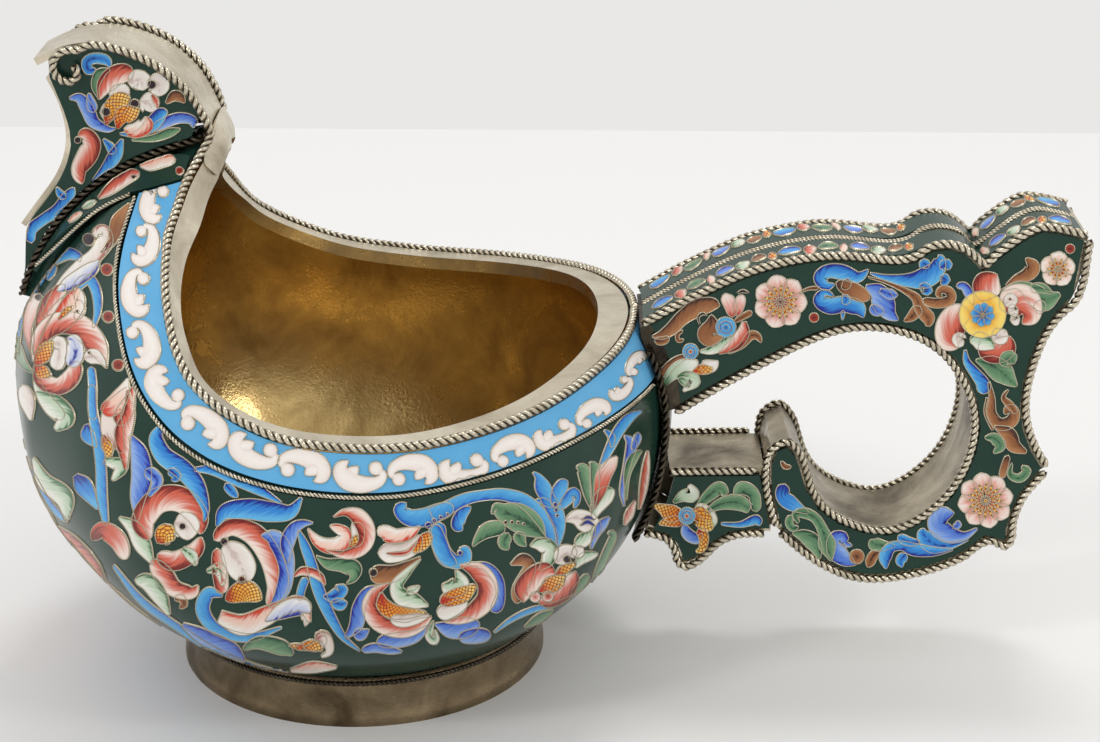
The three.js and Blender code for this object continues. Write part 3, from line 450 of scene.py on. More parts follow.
# Solder fillets that close the joints: outlines seen from the side, (x, z) in mm, and half their width
fillets = {
    "rootFillet": {
        "outline": [(22.9, 53.6), (22.3, 57.2), (21.5, 61.2), (20.2, 65.2), (18.7, 69.0), (18.4, 71.0), (21.6, 71.5),
                    (24.9, 66.8), (26.4, 61.0), (27.2, 56.6), (26.2, 54.6)],
        "half": 9.25,
    },
    "bracketFillet": {"outline": [(42.6, 30.0), (42.6, 38.6), (46.0, 38.0), (46.0, 30.4)], "half": 8.9},
}
for name, kit in fillets.items():
    loops = [[(x, y, z) for x, z in kit["outline"]] for y in (-kit["half"], kit["half"])]
    addPiece(name, closedLoops(name, loops), oxide, "oxidised_silver")
print("smooth parts made")


# Twisted ropes, laid along the wires

def makeRopeTree(name):
    tree = bpy.data.node_groups.new(name, "GeometryNodeTree")
    tree.is_modifier = True
    sockets = [
        ("Geometry", "INPUT", "Geometry", None), ("Strand Radius", "INPUT", "Float", 0.4 * mm),
        ("Lay Radius", "INPUT", "Float", 0.4 * mm), ("Pitch", "INPUT", "Float", 3 * mm),
        ("Step", "INPUT", "Float", 0.4 * mm), ("Strand Sides", "INPUT", "Int", 6),
        ("Metal", "INPUT", "Material", None),
        ("Geometry", "OUTPUT", "Geometry", None),
    ]
    for label, way, kind, value in sockets:
        socket = tree.interface.new_socket(name=label, in_out=way, socket_type="NodeSocket" + kind)
        if value:
            socket.default_value = value
    start = tree.nodes.new("NodeGroupInput")
    end = tree.nodes.new("NodeGroupOutput")
    resample = addNode(tree, "GeometryNodeResampleCurve", {"mode": "LENGTH"})
    along = tree.nodes.new("GeometryNodeSplineParameter")
    tangent = tree.nodes.new("GeometryNodeInputTangent")
    normal = tree.nodes.new("GeometryNodeInputNormal")
    across = addNode(tree, "ShaderNodeVectorMath", {"operation": "CROSS_PRODUCT"})
    turns = mathNode(tree, "DIVIDE")
    strands = tree.nodes.new("GeometryNodeJoinGeometry")
    profile = addNode(tree, "GeometryNodeCurvePrimitiveCircle")
    joinUp(
        tree,
        (start, "Geometry", resample, "Curve"), (start, "Step", resample, "Length"),
        (tangent, 0, across, 0), (normal, 0, across, 1), (along, "Length", turns, 0), (start, "Pitch", turns, 1),
        (start, "Strand Sides", profile, "Resolution"), (start, "Strand Radius", profile, "Radius"),
    )
    for phase in (0.0, math.pi):  # two strands, half a turn apart
        angle = mathNode(tree, "MULTIPLY_ADD", math.tau, phase)
        total = addNode(tree, "ShaderNodeVectorMath", {"operation": "ADD"})
        joinUp(tree, (turns, 0, angle, 0))
        for inlet, (operation, direction) in enumerate((("COSINE", normal), ("SINE", across))):
            wave, reach = mathNode(tree, operation), mathNode(tree, "MULTIPLY")
            move = addNode(tree, "ShaderNodeVectorMath", {"operation": "SCALE"})
            joinUp(
                tree, (angle, 0, wave, 0), (wave, 0, reach, 0), (start, "Lay Radius", reach, 1),
                (direction, 0, move, 0), (reach, 0, move, "Scale"), (move, 0, total, inlet),
            )
        shift = tree.nodes.new("GeometryNodeSetPosition")
        tube = addNode(tree, "GeometryNodeCurveToMesh", **{"Fill Caps": True})
        joinUp(
            tree, (resample, "Curve", shift, "Geometry"), (total, 0, shift, "Offset"),
            (shift, "Geometry", tube, "Curve"), (profile, "Curve", tube, "Profile Curve"),
            (tube, "Mesh", strands, "Geometry"),
        )
    realize = tree.nodes.new("GeometryNodeRealizeInstances")
    finish = tree.nodes.new("GeometryNodeSetMaterial")
    joinUp(
        tree, (strands, "Geometry", realize, "Geometry"), (realize, "Geometry", finish, "Geometry"),
        (start, "Metal", finish, "Material"), (finish, "Geometry", end, "Geometry"),
    )
    return tree


ropeTree = makeRopeTree("twistedRope")
# where the painted shade between a rope's strands starts and how far it fades, as shares of its radius
ropeLay = {"capReach": 2.06, "spacing": 0.6 * mm, "grooveFrom": 0.62, "grooveDepth": 0.3}


# The middles of a round wire's rings of corners, from its far end. Each ring is kept in the order of its
# corners, so that every run gives the same line.
def centreLine(node, radius):
    shape = mergedMesh(node)
    shape.verts.index_update()
    shape.verts.ensure_lookup_table()

    def rings(first):
        seen = set(first)
        found = [list(first)]
        while True:
            following = {e.other_vert(v) for v in found[-1] for e in v.link_edges} - seen
            if not following:
                return found
            seen |= following
            found.append(sorted(following, key=lambda vert: vert.index))

    far = rings([shape.verts[0]])[-1][-1]
    cap = [v for v in shape.verts if (v.co - far.co).length < radius * mm * ropeLay["capReach"]]
    line = [sum((v.co for v in ring), Vector()) / len(ring) for ring in rings(cap)]
    shape.free()
    return line


def between(a, b, c, d, t):  # a smooth step from b to c, on the way from a to d
    return 0.5 * (2 * b + (c - a) * t + (2 * a - 5 * b + 4 * c - d) * t**2 + (3 * b - a - 3 * c + d) * t**3)


def softened(points):
    cage = [points[0] * 2 - points[1], *points, points[-1] * 2 - points[-2]]
    path = []
    for a, b, c, d in zip(cage, cage[1:], cage[2:], cage[3:]):
        steps = max(1, round((c - b).length / ropeLay["spacing"]))
        path += [between(a, b, c, d, i / steps) for i in range(steps)]
    return [*path, points[-1]]


def layRope(name, path, rope, *replaced):
    curve = bpy.data.curves.new(name, "CURVE")
    curve.dimensions = "3D"
    spline = curve.splines.new("POLY")
    spline.points.add(len(path) - 1)
    for point, place in zip(spline.points, path):
        point.co = (*place, 1)
    carrier = addObject("carrier", curve)
    twist = carrier.modifiers.new("twist", "NODES")
    twist.node_group = ropeTree
    values = {
        "Strand Radius": rope["radius"] * rope["strandShare"],
        "Lay Radius": rope["radius"] * (1 - rope["strandShare"]),
        "Pitch": rope["pitch"], "Step": rope["pitch"] / rope["stepsPerTurn"],
        "Strand Sides": rope["sides"], "Metal": rope["metal"],
    }
    for socket in ropeTree.interface.items_tree:
        if socket.in_out == "INPUT" and socket.name in values:
            twist[socket.identifier] = values[socket.name]
    mesh = finished(carrier)
    centre = KDTree(len(path))
    for number, place in enumerate(path):
        centre.insert(place, number)
    centre.balance()
    # painted shade between the strands, darker towards the rope's middle line
    away = np.array([centre.find(v.co)[2] for v in mesh.vertices]) / rope["radius"]
    proud = np.clip((away - ropeLay["grooveFrom"]) / ropeLay["grooveDepth"], 0, 1)
    valueLayer(mesh, "proud", "FLOAT", proud)
    addPiece(name, mesh, rope["metal"], rope["slot"], *replaced)


def valueLayer(mesh, name, kind, values):
    layer = mesh.attributes.new(name, kind, "POINT")
    layer.data.foreach_set("value" if kind == "FLOAT" else "vector", np.asarray(values, np.float32).ravel())


bright = {"metal": silverRope, "slot": "silver_wire", "strandShare": 0.56}
ropeKinds = {
    "heavy": {**bright, "radius": 0.88 * mm, "pitch": 2.86 * mm, "stepsPerTurn": 9, "sides": 6},
    "fine": {**bright, "radius": 0.46 * mm, "pitch": 1.5 * mm, "stepsPerTurn": 7, "sides": 5},
    "braid": {
        "metal": oxideRope, "slot": "oxidised_silver", "strandShare": 0.5,
        "radius": 0.84 * mm, "pitch": 3.4 * mm, "stepsPerTurn": 10, "sides": 6,
    },
    "foot": {**bright, "metal": oxideRope, "radius": 0.56 * mm, "pitch": 1.8 * mm, "stepsPerTurn": 8, "sides": 5},
}
ropes = [("border", 0.42, "fine"), ("collar", 0.42, "fine"), ("prow_seam", 0.8, "braid"), ("mount", 0.8, "braid")]
ropes += [
    (stem, 0.8, "heavy") for stem in (
        "handle_top", "handle_back", "handle_under", "handle_inner", "bracket_top", "bracket_under",
    )
]
ropes += [("handle_ridge", 0.4, "fine")]
crestCorner = [(-61.2, -8.9, 109.4), (-61.0, -8.6, 107.6)]  # mm, where the crest's rope turns into the rim's
seamEnd = (-62.4, -8.6, 107.5)

for stem, radius, kind in ropes:
    for side, turn in sides.items():
        node = f"{stem}_wire_{side}"
        line = centreLine(node, radius)
        if stem == "prow_seam":
            line = [*sorted(line, key=lambda v: v.x), besideMiddle(seamEnd, turn)]
        layRope(node + "Rope", softened(line), ropeKinds[kind], node)

for side, turn in sides.items():
    crest, rim = centreLine(f"crest_wire_{side}", 0.72), centreLine(f"rim_wire_{side}", 0.85)
    corner = [besideMiddle(spot, turn) for spot in crestCorner]
    if (crest[0] - corner[0]).length < (crest[-1] - corner[0]).length:
        crest.reverse()
    if (rim[-1] - corner[0]).length < (rim[0] - corner[0]).length:
        rim.reverse()
    path = softened([*crest, *corner, *rim[1:]])
    layRope("crestRimRope" + side.title(), path, ropeKinds["heavy"], f"crest_wire_{side}", f"rim_wire_{side}")


def surfaceTree(mesh):
    return BVHTree.FromPolygons([v.co.copy() for v in mesh.vertices], [list(face.vertices) for face in mesh.polygons])


# The prow's heel: a thin wedge between its seam rope and the bowl, in mm
heel = {"from": 73.6, "to": 93.0, "rows": 14, "edgeHalf": 0.5, "rootHalf": 2.4, "sunk": 0.9, "besideMiddle": 0.4}
wellAhead = -300 * mm  # in front of the prow: rays that feel for the bowl's front start there
bowlFront = surfaceTree(smoothMeshes["bowl_shell"])
seam = sorted((spot / mm for spot in centreLine("prow_seam_wire_left", 0.8)), key=lambda spot: spot.z)
heelLoops = []
for level in np.linspace(heel["from"], heel["to"], heel["rows"]):
    edge = float(np.interp(level, [spot.z for spot in seam], [spot.x for spot in seam]))
    hit = bowlFront.ray_cast(Vector((wellAhead, -heel["besideMiddle"] * mm, level * mm)), Vector((1, 0, 0)))[0]
    if hit and hit.x / mm > edge:
        root, level = hit.x / mm + heel["sunk"], float(level)
        heelLoops.append([
            (edge, -heel["edgeHalf"], level), (root, -heel["rootHalf"], level),
            (root, heel["rootHalf"], level), (edge, heel["edgeHalf"], level),
        ])
if len(heelLoops) > 1:
    addPiece("prowHeel", closedLoops("prowHeel", heelLoops), groundEnamel, "enamel_prow")
print("prow heel rows:", len(heelLoops))

wireLow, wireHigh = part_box("foot_wire")
wireMiddle = (wireLow + wireHigh) / 2
wireReach = (wireHigh.x - wireLow.x) / 2 - ropeKinds["foot"]["radius"]
ringSteps = 240
turnAngles = [math.tau * k / ringSteps for k in range(ringSteps + 1)]
ring = [wireMiddle + Vector((wireReach * math.cos(a), wireReach * math.sin(a), 0)) for a in turnAngles]
layRope("footRope", ring, ropeKinds["foot"], "foot_wire")
print("ropes laid")


# Painted enamel: every stroke is a patch laid on its surface, edged by a thin silver wire.
# Each paint runs from the root of a stroke over its middle to its tip.
enamelPaints = {
    "red": ((116, 26, 18), (206, 96, 74), (240, 224, 212)),
    "fire": ((196, 44, 20), (238, 156, 44), (248, 216, 120)),
    "rose": ((146, 40, 34), (222, 142, 128), (240, 226, 216)),
    "white": ((170, 110, 98), (228, 214, 204), (238, 234, 226)),
    "leafWhite": ((52, 104, 62), (184, 204, 176), (236, 234, 224)),
    "blue": ((16, 34, 138), (44, 128, 206), (98, 180, 226)),
    "lilac": ((26, 36, 150), (80, 122, 208), (144, 176, 226)),
    "sage": ((34, 72, 50), (86, 128, 92), (128, 160, 122)),
    "brown": ((64, 34, 22), (136, 84, 48), (176, 122, 78)),
    "gold": ((184, 60, 22), (236, 170, 50), (246, 216, 112)),
    "stem": ((30, 92, 188), (60, 146, 210), (96, 178, 226)),
    "stud": ((80, 20, 14), (136, 38, 24), (170, 62, 38)),
    "dark": ((20, 12, 26), (38, 20, 28), (60, 30, 34)),
    "pearl": ((202, 184, 176), (228, 218, 210), (240, 236, 228)),
    "blush": ((182, 66, 54), (222, 156, 142), (240, 226, 216)),
    "navy": ((10, 14, 80), (18, 30, 134), (40, 80, 184)),
    "lilacPearl": ((40, 50, 150), (192, 198, 222), (236, 234, 230)),
    "scroll": ((240, 234, 228), (238, 230, 223), (232, 220, 212)),
    "whiteRed": ((204, 62, 36), (236, 198, 180), (240, 236, 228)),
}
# How strokes are laid. Steps, gaps between corners and streaks are in picture points; lifts, the wire's half
# width and the far side's reach are in metres; the gap beside the seam is in mm; the rest is shares and counts.
strokeLay = {
    "step": 2.1, "across": 8, "lift": 0.1 * mm, "liftPerLayer": 0.04 * mm, "liftPerShape": 0.011 * mm, "shapeSteps": 5,
    "wireStep": 2.2, "wireGap": 0.15, "wireFewest": 8, "wireHalf": 0.13 * mm, "wireLift": 0.2 * mm, "beadsPerMm": 17.0,
    "streakPerPixel": 0.24, "streakAlong": 3.0, "streakShift": 1.7, "slant": 1.5, "swell": 1.12,
    "coreAlong": 0.25, "coreAcross": 0.85,
    "netted": ("fire", "gold"), "farReach": 1.2 * mm, "seamGap": 0.6, "pullBack": (1.0, 0.94, 0.86, 0.7, 0.4, 0.0),
}
strokeLook = {"streak": 0.75, "net": 0.72, "slowing": 1.1}  # net turns picture points into its mesh


def makeStrokeShade():
    group, start, end = newGroup("shadedStroke", [
        *[(label, "Color", (1, 1, 1, 1)) for label in ("Root", "Middle", "Tip")],
        ("Flow", "Vector", (0, 0, 0)), ("Streak", "Float", 0.5),
        ("Net", "Vector", (0, 0, 0)), ("Net Line", "Color", (0.2, 0.01, 0.01, 1)),
    ], [("Colour", "Color"), ("Height", "Float")])
    flow = addNode(group, "ShaderNodeSeparateXYZ")
    spread = addNode(group, "ShaderNodeCombineXYZ")
    slow = mathNode(group, "MULTIPLY", strokeLook["slowing"])
    streaks = addNode(group, "ShaderNodeTexNoise", Scale=1.0, Detail=2.5, Roughness=0.55)
    shift = mathNode(group, "SUBTRACT", 0.5)
    mark = mathNode(group, "MULTIPLY_ADD")
    low = softRange(group, **{"From Min": 0.08, "From Max": 0.36})
    high = softRange(group, **{"From Min": 0.38})
    first, second, third = [mixNode(group) for _ in range(3)]
    net = addNode(group, "ShaderNodeSeparateXYZ")
    nearest = mathNode(group, "MINIMUM")
    drawn = softRange(group, **{"From Min": 0.55, "From Max": 0.2})
    shown = mathNode(group, "MULTIPLY")
    joinUp(
        group,
        (start, "Flow", flow, 0), (flow, "X", slow, 0), (slow, 0, spread, "X"), (flow, "Y", spread, "Y"),
        (flow, "Z", spread, "Z"), (spread, 0, streaks, "Vector"), (streaks, "Fac", shift, 0),
        (shift, 0, mark, 0), (start, "Streak", mark, 1), (flow, "X", mark, 2),
        (mark, 0, low, "Value"), (mark, 0, high, "Value"),
        (low, "Result", first, "Factor"), (start, "Root", first, "A"), (start, "Middle", first, "B"),
        (high, "Result", second, "Factor"), (first, "Result", second, "A"), (start, "Tip", second, "B"),
        (streaks, "Fac", end, "Height"), (start, "Net", net, 0),
    )
    for inlet, operation in enumerate(("ADD", "SUBTRACT")):  # the net's lines slant both ways
        across, turns = mathNode(group, operation), mathNode(group, "MULTIPLY", strokeLook["net"])
        wave, size = mathNode(group, "SINE"), mathNode(group, "ABSOLUTE")
        joinUp(
            group, (net, "X", across, 0), (net, "Y", across, 1), (across, 0, turns, 0), (turns, 0, wave, 0),
            (wave, 0, size, 0), (size, 0, nearest, inlet),
        )
    joinUp(
        group, (nearest, 0, drawn, "Value"), (drawn, "Result", shown, 0), (net, "Z", shown, 1),
        (shown, 0, third, "Factor"), (second, "Result", third, "A"), (start, "Net Line", third, "B"),
        (third, "Result", end, "Colour"),
    )
    return group


def makeStrokeMaterial():
    material, tree, shader = newMaterial("shadedEnamel", **{
        "Roughness": 0.3, "Specular IOR Level": 0.25, "Coat Weight": 0.15, "Coat Roughness": 0.08,
    })
    shade = addNode(
        tree, "ShaderNodeGroup", {"node_tree": makeStrokeShade()},
        **{"Streak": strokeLook["streak"], "Net Line": colour("netLine")},
    )
    for label in ("Root", "Middle", "Tip"):
        joinUp(tree, (attributeNode(tree, "paint" + label), "Color", shade, label))
    joinUp(
        tree, (attributeNode(tree, "flow"), "Vector", shade, "Flow"),
        (attributeNode(tree, "net"), "Vector", shade, "Net"), (shade, "Colour", shader, "Base Color"),
    )
    addRelief(tree, shader, shade, "Height", 0.15, 0.1 * mm)
    return material


# The wire's beads are painted: a darker tone, painted shade between the beads, alternates with plain silver along it
def makeCloisonMaterial():
    material, tree, shader = newMaterial("cloisonWire", Metallic=0.85, Roughness=0.35)
    beads = mathNode(tree, "SINE")
    level = addNode(tree, "ShaderNodeMapRange", **{"From Min": -1.0, "From Max": 1.0})
    mix = mixNode(tree, "cloisonBeadShade", "silverPale")
    joinUp(
        tree, (attributeNode(tree, "along"), "Fac", beads, 0), (beads, 0, level, "Value"),
        (level, "Result", mix, "Factor"), (mix, "Result", shader, "Base Color"),
    )
    return material


strokeMaterial = makeStrokeMaterial()
cloisonMaterial = makeCloisonMaterial()

# Where the camera stands, and how a picture point looks into the scene
turned = (
    Matrix.Rotation(math.radians(90 - photo["pitchDeg"]), 4, "X")
    @ Matrix.Rotation(math.radians(photo["rollDeg"]), 4, "Z")
)
stand = footMiddle + Vector((photo["ahead"], -photo["away"], 0))
stand.z = photo["up"]


def lookAlong(pixel):
    ray = Vector((pixel[0] - photo["width"] / 2, photo["height"] / 2 - pixel[1], -photo["focal"]))
    return (turned.to_3x3() @ ray).normalized()


def met(tree, start, ray):  # where a ray meets a surface, with the normal towards where it comes from
    hit, normal, _, _ = tree.ray_cast(start, ray)
    if hit is None:
        return None
    return hit, (-normal if normal.dot(ray) > 0 else normal)


def onTree(tree):
    return lambda pixel: met(tree, stand, lookAlong(pixel))


def onFace(node):  # the flat side of the handle or its bracket
    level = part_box(node)[0].y

    def place(pixel):
        ray = lookAlong(pixel)
        return stand + ray * ((level - stand.y) / ray.y), Vector((0, -1, 0))
    return place


frontScale = 5.5  # picture points to a millimetre, for what is drawn straight from the front


def onFront(tree):
    def place(pixel):
        aside = max(pixel[0] / frontScale, strokeLay["seamGap"])
        found = met(tree, Vector((wellAhead, -aside * mm, -pixel[1] / frontScale * mm)), Vector((1, 0, 0)))
        return None if found is None or found[0].x > footMiddle.x else found
    return place


zoneNodes = {
    "bowlFront": "bowl_enamel", "bowl": "bowl_enamel", "border": "border_enamel", "collar": "collar_enamel",
    "prow": "prow_enamel", "handleTop": "handle_top_enamel",
}
nearTrees = {zone: surfaceTree(smoothMeshes[node + "_left"]) for zone, node in zoneNodes.items()}
farTrees = {zone: surfaceTree(smoothMeshes[node + "_right"]) for zone, node in zoneNodes.items()}
surfaces = {zone: onTree(tree) for zone, tree in nearTrees.items()}
surfaces["bowlFront"] = onFront(nearTrees["bowlFront"])
surfaces["handle"], surfaces["bracket"] = onFace("handle_enamel_left"), onFace("bracket_enamel_left")


# Each picture point's place on its surface. A point beyond the edge is pulled back to the shape's middle.
def placed(zone, pixels):
    middle = pixels.mean(axis=0)
    spots = []
    for pixel in pixels:
        tries = (surfaces[zone](middle + (pixel - middle) * share) for share in strokeLay["pullBack"])
        spots.append(next((found for found in tries if found), None))
        if spots[-1] is None:
            return None
    return spots


def lengthAlong(line):
    return np.concatenate([[0], np.cumsum(np.linalg.norm(np.diff(line, axis=0), axis=1))])


def softLine(stations, step):
    points = np.array(stations, float)
    cage = np.vstack([2 * points[0] - points[1], points, 2 * points[-1] - points[-2]])
    line = []
    for a, b, c, d in zip(cage, cage[1:], cage[2:], cage[3:]):
        count = max(2, round(float(np.hypot(*(c - b)[:2])) / step))
        line.append(between(a, b, c, d, (np.arange(count) / count)[:, None]))
    return np.vstack([*line, points[-1:]])


strokes = []


# A stroke's ends are round (r) or pointed (p), and its shade flows along it, across it, across it the other
# way (back), or out from its core
def stroke(zone, paint, stations, ends="pp", flow="core", layer=0, group=None):
    line = softLine(stations, strokeLay["step"])
    middle, half = line[:, :2], np.maximum(line[:, 2], 0)
    run = np.gradient(middle, axis=0)
    run /= np.maximum(np.linalg.norm(run, axis=1, keepdims=True), 1e-6)
    reached = lengthAlong(middle)
    whole = reached[-1]
    for mark, gone in ((ends[0], reached), (ends[1], whole - reached)):
        if mark == "r":
            reach = max(half.max(), 1e-3)
            half = half * np.sqrt(1 - (1 - np.minimum(gone / reach, 1)) ** 2)
    normal = np.stack([-run[:, 1], run[:, 0]], axis=1)
    share, s = reached / whole, np.linspace(-1, 1, strokeLay["across"] + 1)
    reachOut = half[:, None] * s[None, :]
    grid = middle[:, None, :] + normal[:, None, :] * reachOut[..., None]
    along = np.broadcast_to(share[:, None], reachOut.shape)
    side = np.broadcast_to(s[None, :], reachOut.shape)
    slanted = strokeLay["slant"] * half[:, None]
    gradient = {
        "along": along, "across": (side + 1) / 2, "back": (1 - side) / 2,
        "core": strokeLay["coreAlong"] * along + strokeLay["coreAcross"] * np.abs(side),
    }[flow]
    lean = -np.abs(side) if flow == "core" else side
    barbs = (along * whole + slanted * lean) * strokeLay["streakPerPixel"]
    if flow == "along":
        barbs = side * strokeLay["streakAlong"]
    netted = paint in strokeLay["netted"]
    strokes.append({
        "zone": zone, "paint": paint, "layer": layer, "grid": grid, "gradient": gradient, "barbs": barbs,
        "net": np.stack([along * whole, side * half[:, None], np.full(side.shape, float(netted))], axis=2),
        "group": group,
    })


discGrid = {"sides": 21, "rings": 5, "hole": 0.02}


def disc(zone, paint, centre, radius, layer=0, bare=False, group=None):
    angles = np.linspace(0, math.tau, discGrid["sides"])
    share = np.linspace(discGrid["hole"], 1, discGrid["rings"])
    x = radius * share[None, :] * np.cos(angles)[:, None]
    y = radius * share[None, :] * np.sin(angles)[:, None]
    strokes.append({
        "zone": zone, "paint": paint, "layer": layer, "grid": np.stack([centre[0] + x, centre[1] + y], axis=2),
        "gradient": np.broadcast_to(share[None, :], x.shape), "barbs": np.broadcast_to(angles[:, None] * 2, x.shape),
        "net": np.zeros((*x.shape, 3)), "ring": True, "bare": bare, "group": group,
    })


# Shares of a flower's radius: stations along a petal and their half widths, the same for its rays, its heart
flowerLay = {
    "petal": (0.1, 0.4, 0.75, 1.0), "petalWidths": (0.62, 1, 0.72), "petalRoot": 0.08, "petalShare": 0.46,
    "ray": (0.1, 0.3, 0.66), "rayWidths": (0.06, 0.1, 0.02), "rayPaint": "fire",
    "heart": 0.17, "heartInside": 0.4,
}


def flower(zone, paint, centre, radius, petals, turnDeg, rays, layer):
    def line(angle, reaches, widths):
        spots = np.array([[math.cos(angle) * r, math.sin(angle) * r] for r in reaches]) * radius + np.array(centre)
        return [(x, y, w * radius) for (x, y), w in zip(spots, widths)]

    kit = flowerLay
    wide = kit["petalShare"] * 6 / petals
    widths = (kit["petalRoot"], *[wide * w for w in kit["petalWidths"]])
    for k in range(petals):
        angle = math.radians(turnDeg) + math.tau * k / petals
        stroke(zone, paint, line(angle, kit["petal"], widths), ends="pr", flow="along", layer=layer)
    for k in range(rays):
        angle = math.radians(turnDeg) + math.tau * (k + 0.5) / rays
        stroke(zone, kit["rayPaint"], line(angle, kit["ray"], kit["rayWidths"]), flow="along", layer=layer + 1)
    disc(zone, "stud", centre, radius * kit["heart"], layer=layer + 2)
    disc(zone, "gold", centre, radius * kit["heart"] * kit["heartInside"], layer=layer + 3)


def rosette(zone, centre, radius, layer=2):
    rings = [("stem", 1, False), ("navy", 0.62, False), ("stem", 0.5, True), ("red", 0.28, False)]
    for number, (paint, share, bare) in enumerate(rings):
        disc(zone, paint, centre, radius * share, layer=layer + number, bare=bare)


def outlineOf(shape):
    grid = shape["grid"]
    if shape.get("ring"):
        return grid[:-1, -1]
    return np.vstack([grid[:, 0], grid[-1, 1:-1], grid[::-1, -1], grid[0, -2:0:-1]])


def evenLoop(loop, step):
    apart = np.linalg.norm(np.diff(loop, axis=0), axis=1) > strokeLay["wireGap"]
    loop = loop[np.concatenate([[True], apart])]
    closed = np.vstack([loop, loop[:1]])
    reached = lengthAlong(closed)
    count = max(strokeLay["wireFewest"], int(reached[-1] / step))
    marks = np.linspace(0, reached[-1], count, endpoint=False)
    return np.stack([np.interp(marks, reached, closed[:, k]) for k in range(2)], axis=1)


def insideOutline(spots, outline):
    x, y = spots[:, 0], spots[:, 1]
    inside = np.zeros(len(spots), bool)
    for (x1, y1), (x2, y2) in zip(outline, np.roll(outline, -1, axis=0)):
        crosses = (y1 > y) != (y2 > y)
        inside ^= crosses & (x < (x2 - x1) * (y - y1) / ((y2 - y1) or 1e-9) + x1)
    return inside


def layPatch(sheet, shape, spots, lift, number):
    rows, columns = shape["grid"].shape[:2]
    middle = (rows // 2) * columns + columns // 2
    here = spots[middle][0]
    facing = (spots[middle + 1][0] - here).cross(spots[middle - columns][0] - here)
    quads = gridFaces(rows, columns, first=len(sheet["corners"]))
    sheet["faces"] += [quad[::-1] for quad in quads] if facing.dot(spots[middle][1]) > 0 else quads
    sheet["corners"] += [place + normal * lift for place, normal in spots]
    sheet["lifts"] += [lift] * len(spots)
    sheet["net"] += shape["net"].reshape(-1, 3).tolist()
    seed = number * strokeLay["streakShift"]
    sheet["flow"] += [(g, b, seed) for g, b in zip(shape["gradient"].ravel(), shape["barbs"].ravel())]
    sheet["tones"] += [[(*toLinear(tone), 1) for tone in enamelPaints[shape["paint"]]]] * (rows * columns)


def layWire(sheet, shape, group, lift):  # none where another shape of the same group covers the outline
    loop = evenLoop(outlineOf(shape), strokeLay["wireStep"])
    ring = placed(shape["zone"], loop)
    if ring is None:
        return
    count = len(ring)
    hidden = np.zeros(count, bool)
    for other in group:
        hidden |= insideOutline(loop, outlineOf(other))
    start, gone, crown = len(sheet["corners"]), 0.0, strokeLay["wireLift"] + lift
    for k, (place, normal) in enumerate(ring):
        following = (k + 1) % count
        across = normal.cross(ring[following][0] - ring[k - 1][0]).normalized() * strokeLay["wireHalf"]
        sheet["corners"] += [place - across, place + normal * crown, place + across]
        sheet["lifts"] += [0, crown, 0]
        gone += (place - ring[k - 1][0]).length / mm
        sheet["along"] += [gone * strokeLay["beadsPerMm"]] * 3
        if not (hidden[k] or hidden[following]):
            a, b = start + 3 * k, start + 3 * following
            sheet["faces"] += [(a, b, b + 1, a + 1), (a + 1, b + 1, b + 2, a + 2)]


# The far side has the same ornament turned over, laid on its own surface
def farSide(zone, spots, lifts):
    mirrored = [Vector((v.x, -v.y, v.z)) for v in spots]
    if zone not in farTrees:
        return mirrored
    laid = []
    for spot, lift in zip(mirrored, lifts):
        nearest, normal, _, gap = farTrees[zone].find_nearest(spot)
        outward = Vector((0, 1, 0)) if zone == "prow" else spot - footMiddle
        if normal.dot(outward) < 0 and zone != "handleTop":
            normal = -normal
        laid.append(nearest + normal * lift if gap < strokeLay["farReach"] else spot)
    return laid


def sheetMesh(name, zone, sheet, far):
    mesh = bpy.data.meshes.new(name)
    places = farSide(zone, sheet["corners"], sheet["lifts"]) if far else sheet["corners"]
    mesh.from_pydata(places, [], [face[::-1] for face in sheet["faces"]] if far else sheet["faces"])
    return smoothShaded(mesh)


def buildStrokes(zone, slot):
    patches = {key: [] for key in ("corners", "lifts", "faces", "net", "flow", "tones")}
    wires = {key: [] for key in ("corners", "lifts", "faces", "along")}
    shapes = [shape for shape in strokes if shape["zone"] == zone]
    for number, shape in enumerate(shapes):
        spots = placed(zone, shape["grid"].reshape(-1, 2))
        if spots is None:
            print("off the surface:", zone, shape["paint"], shape["grid"].mean(axis=(0, 1)).round())
            continue
        lift = strokeLay["lift"] + strokeLay["liftPerLayer"] * shape["layer"]
        lift += strokeLay["liftPerShape"] * (number % strokeLay["shapeSteps"])
        layPatch(patches, shape, spots, lift, number)
        if not shape.get("bare"):
            grouped = shape["group"] is not None
            others = [s for s in shapes if grouped and s is not shape and s["group"] == shape["group"]]
            layWire(wires, shape, others, lift)
    for side, turn in sides.items():
        mesh = sheetMesh(zone + "Paint" + side.title(), zone, patches, turn > 0)
        for k, label in enumerate(("Root", "Middle", "Tip")):
            layer = mesh.color_attributes.new("paint" + label, "FLOAT_COLOR", "POINT")
            layer.data.foreach_set("color", np.array([tones[k] for tones in patches["tones"]], np.float32).ravel())
        valueLayer(mesh, "flow", "FLOAT_VECTOR", patches["flow"])
        valueLayer(mesh, "net", "FLOAT_VECTOR", patches["net"])
        addPiece(mesh.name, mesh, strokeMaterial, slot)
        mesh = sheetMesh(zone + "Cloisons" + side.title(), zone, wires, turn > 0)
        valueLayer(mesh, "along", "FLOAT", wires["along"])
        addPiece(mesh.name, mesh, cloisonMaterial, slot)
    print(zone, "painted:", len(patches["faces"]), "patches of enamel,", len(wires["faces"]), "of wire")


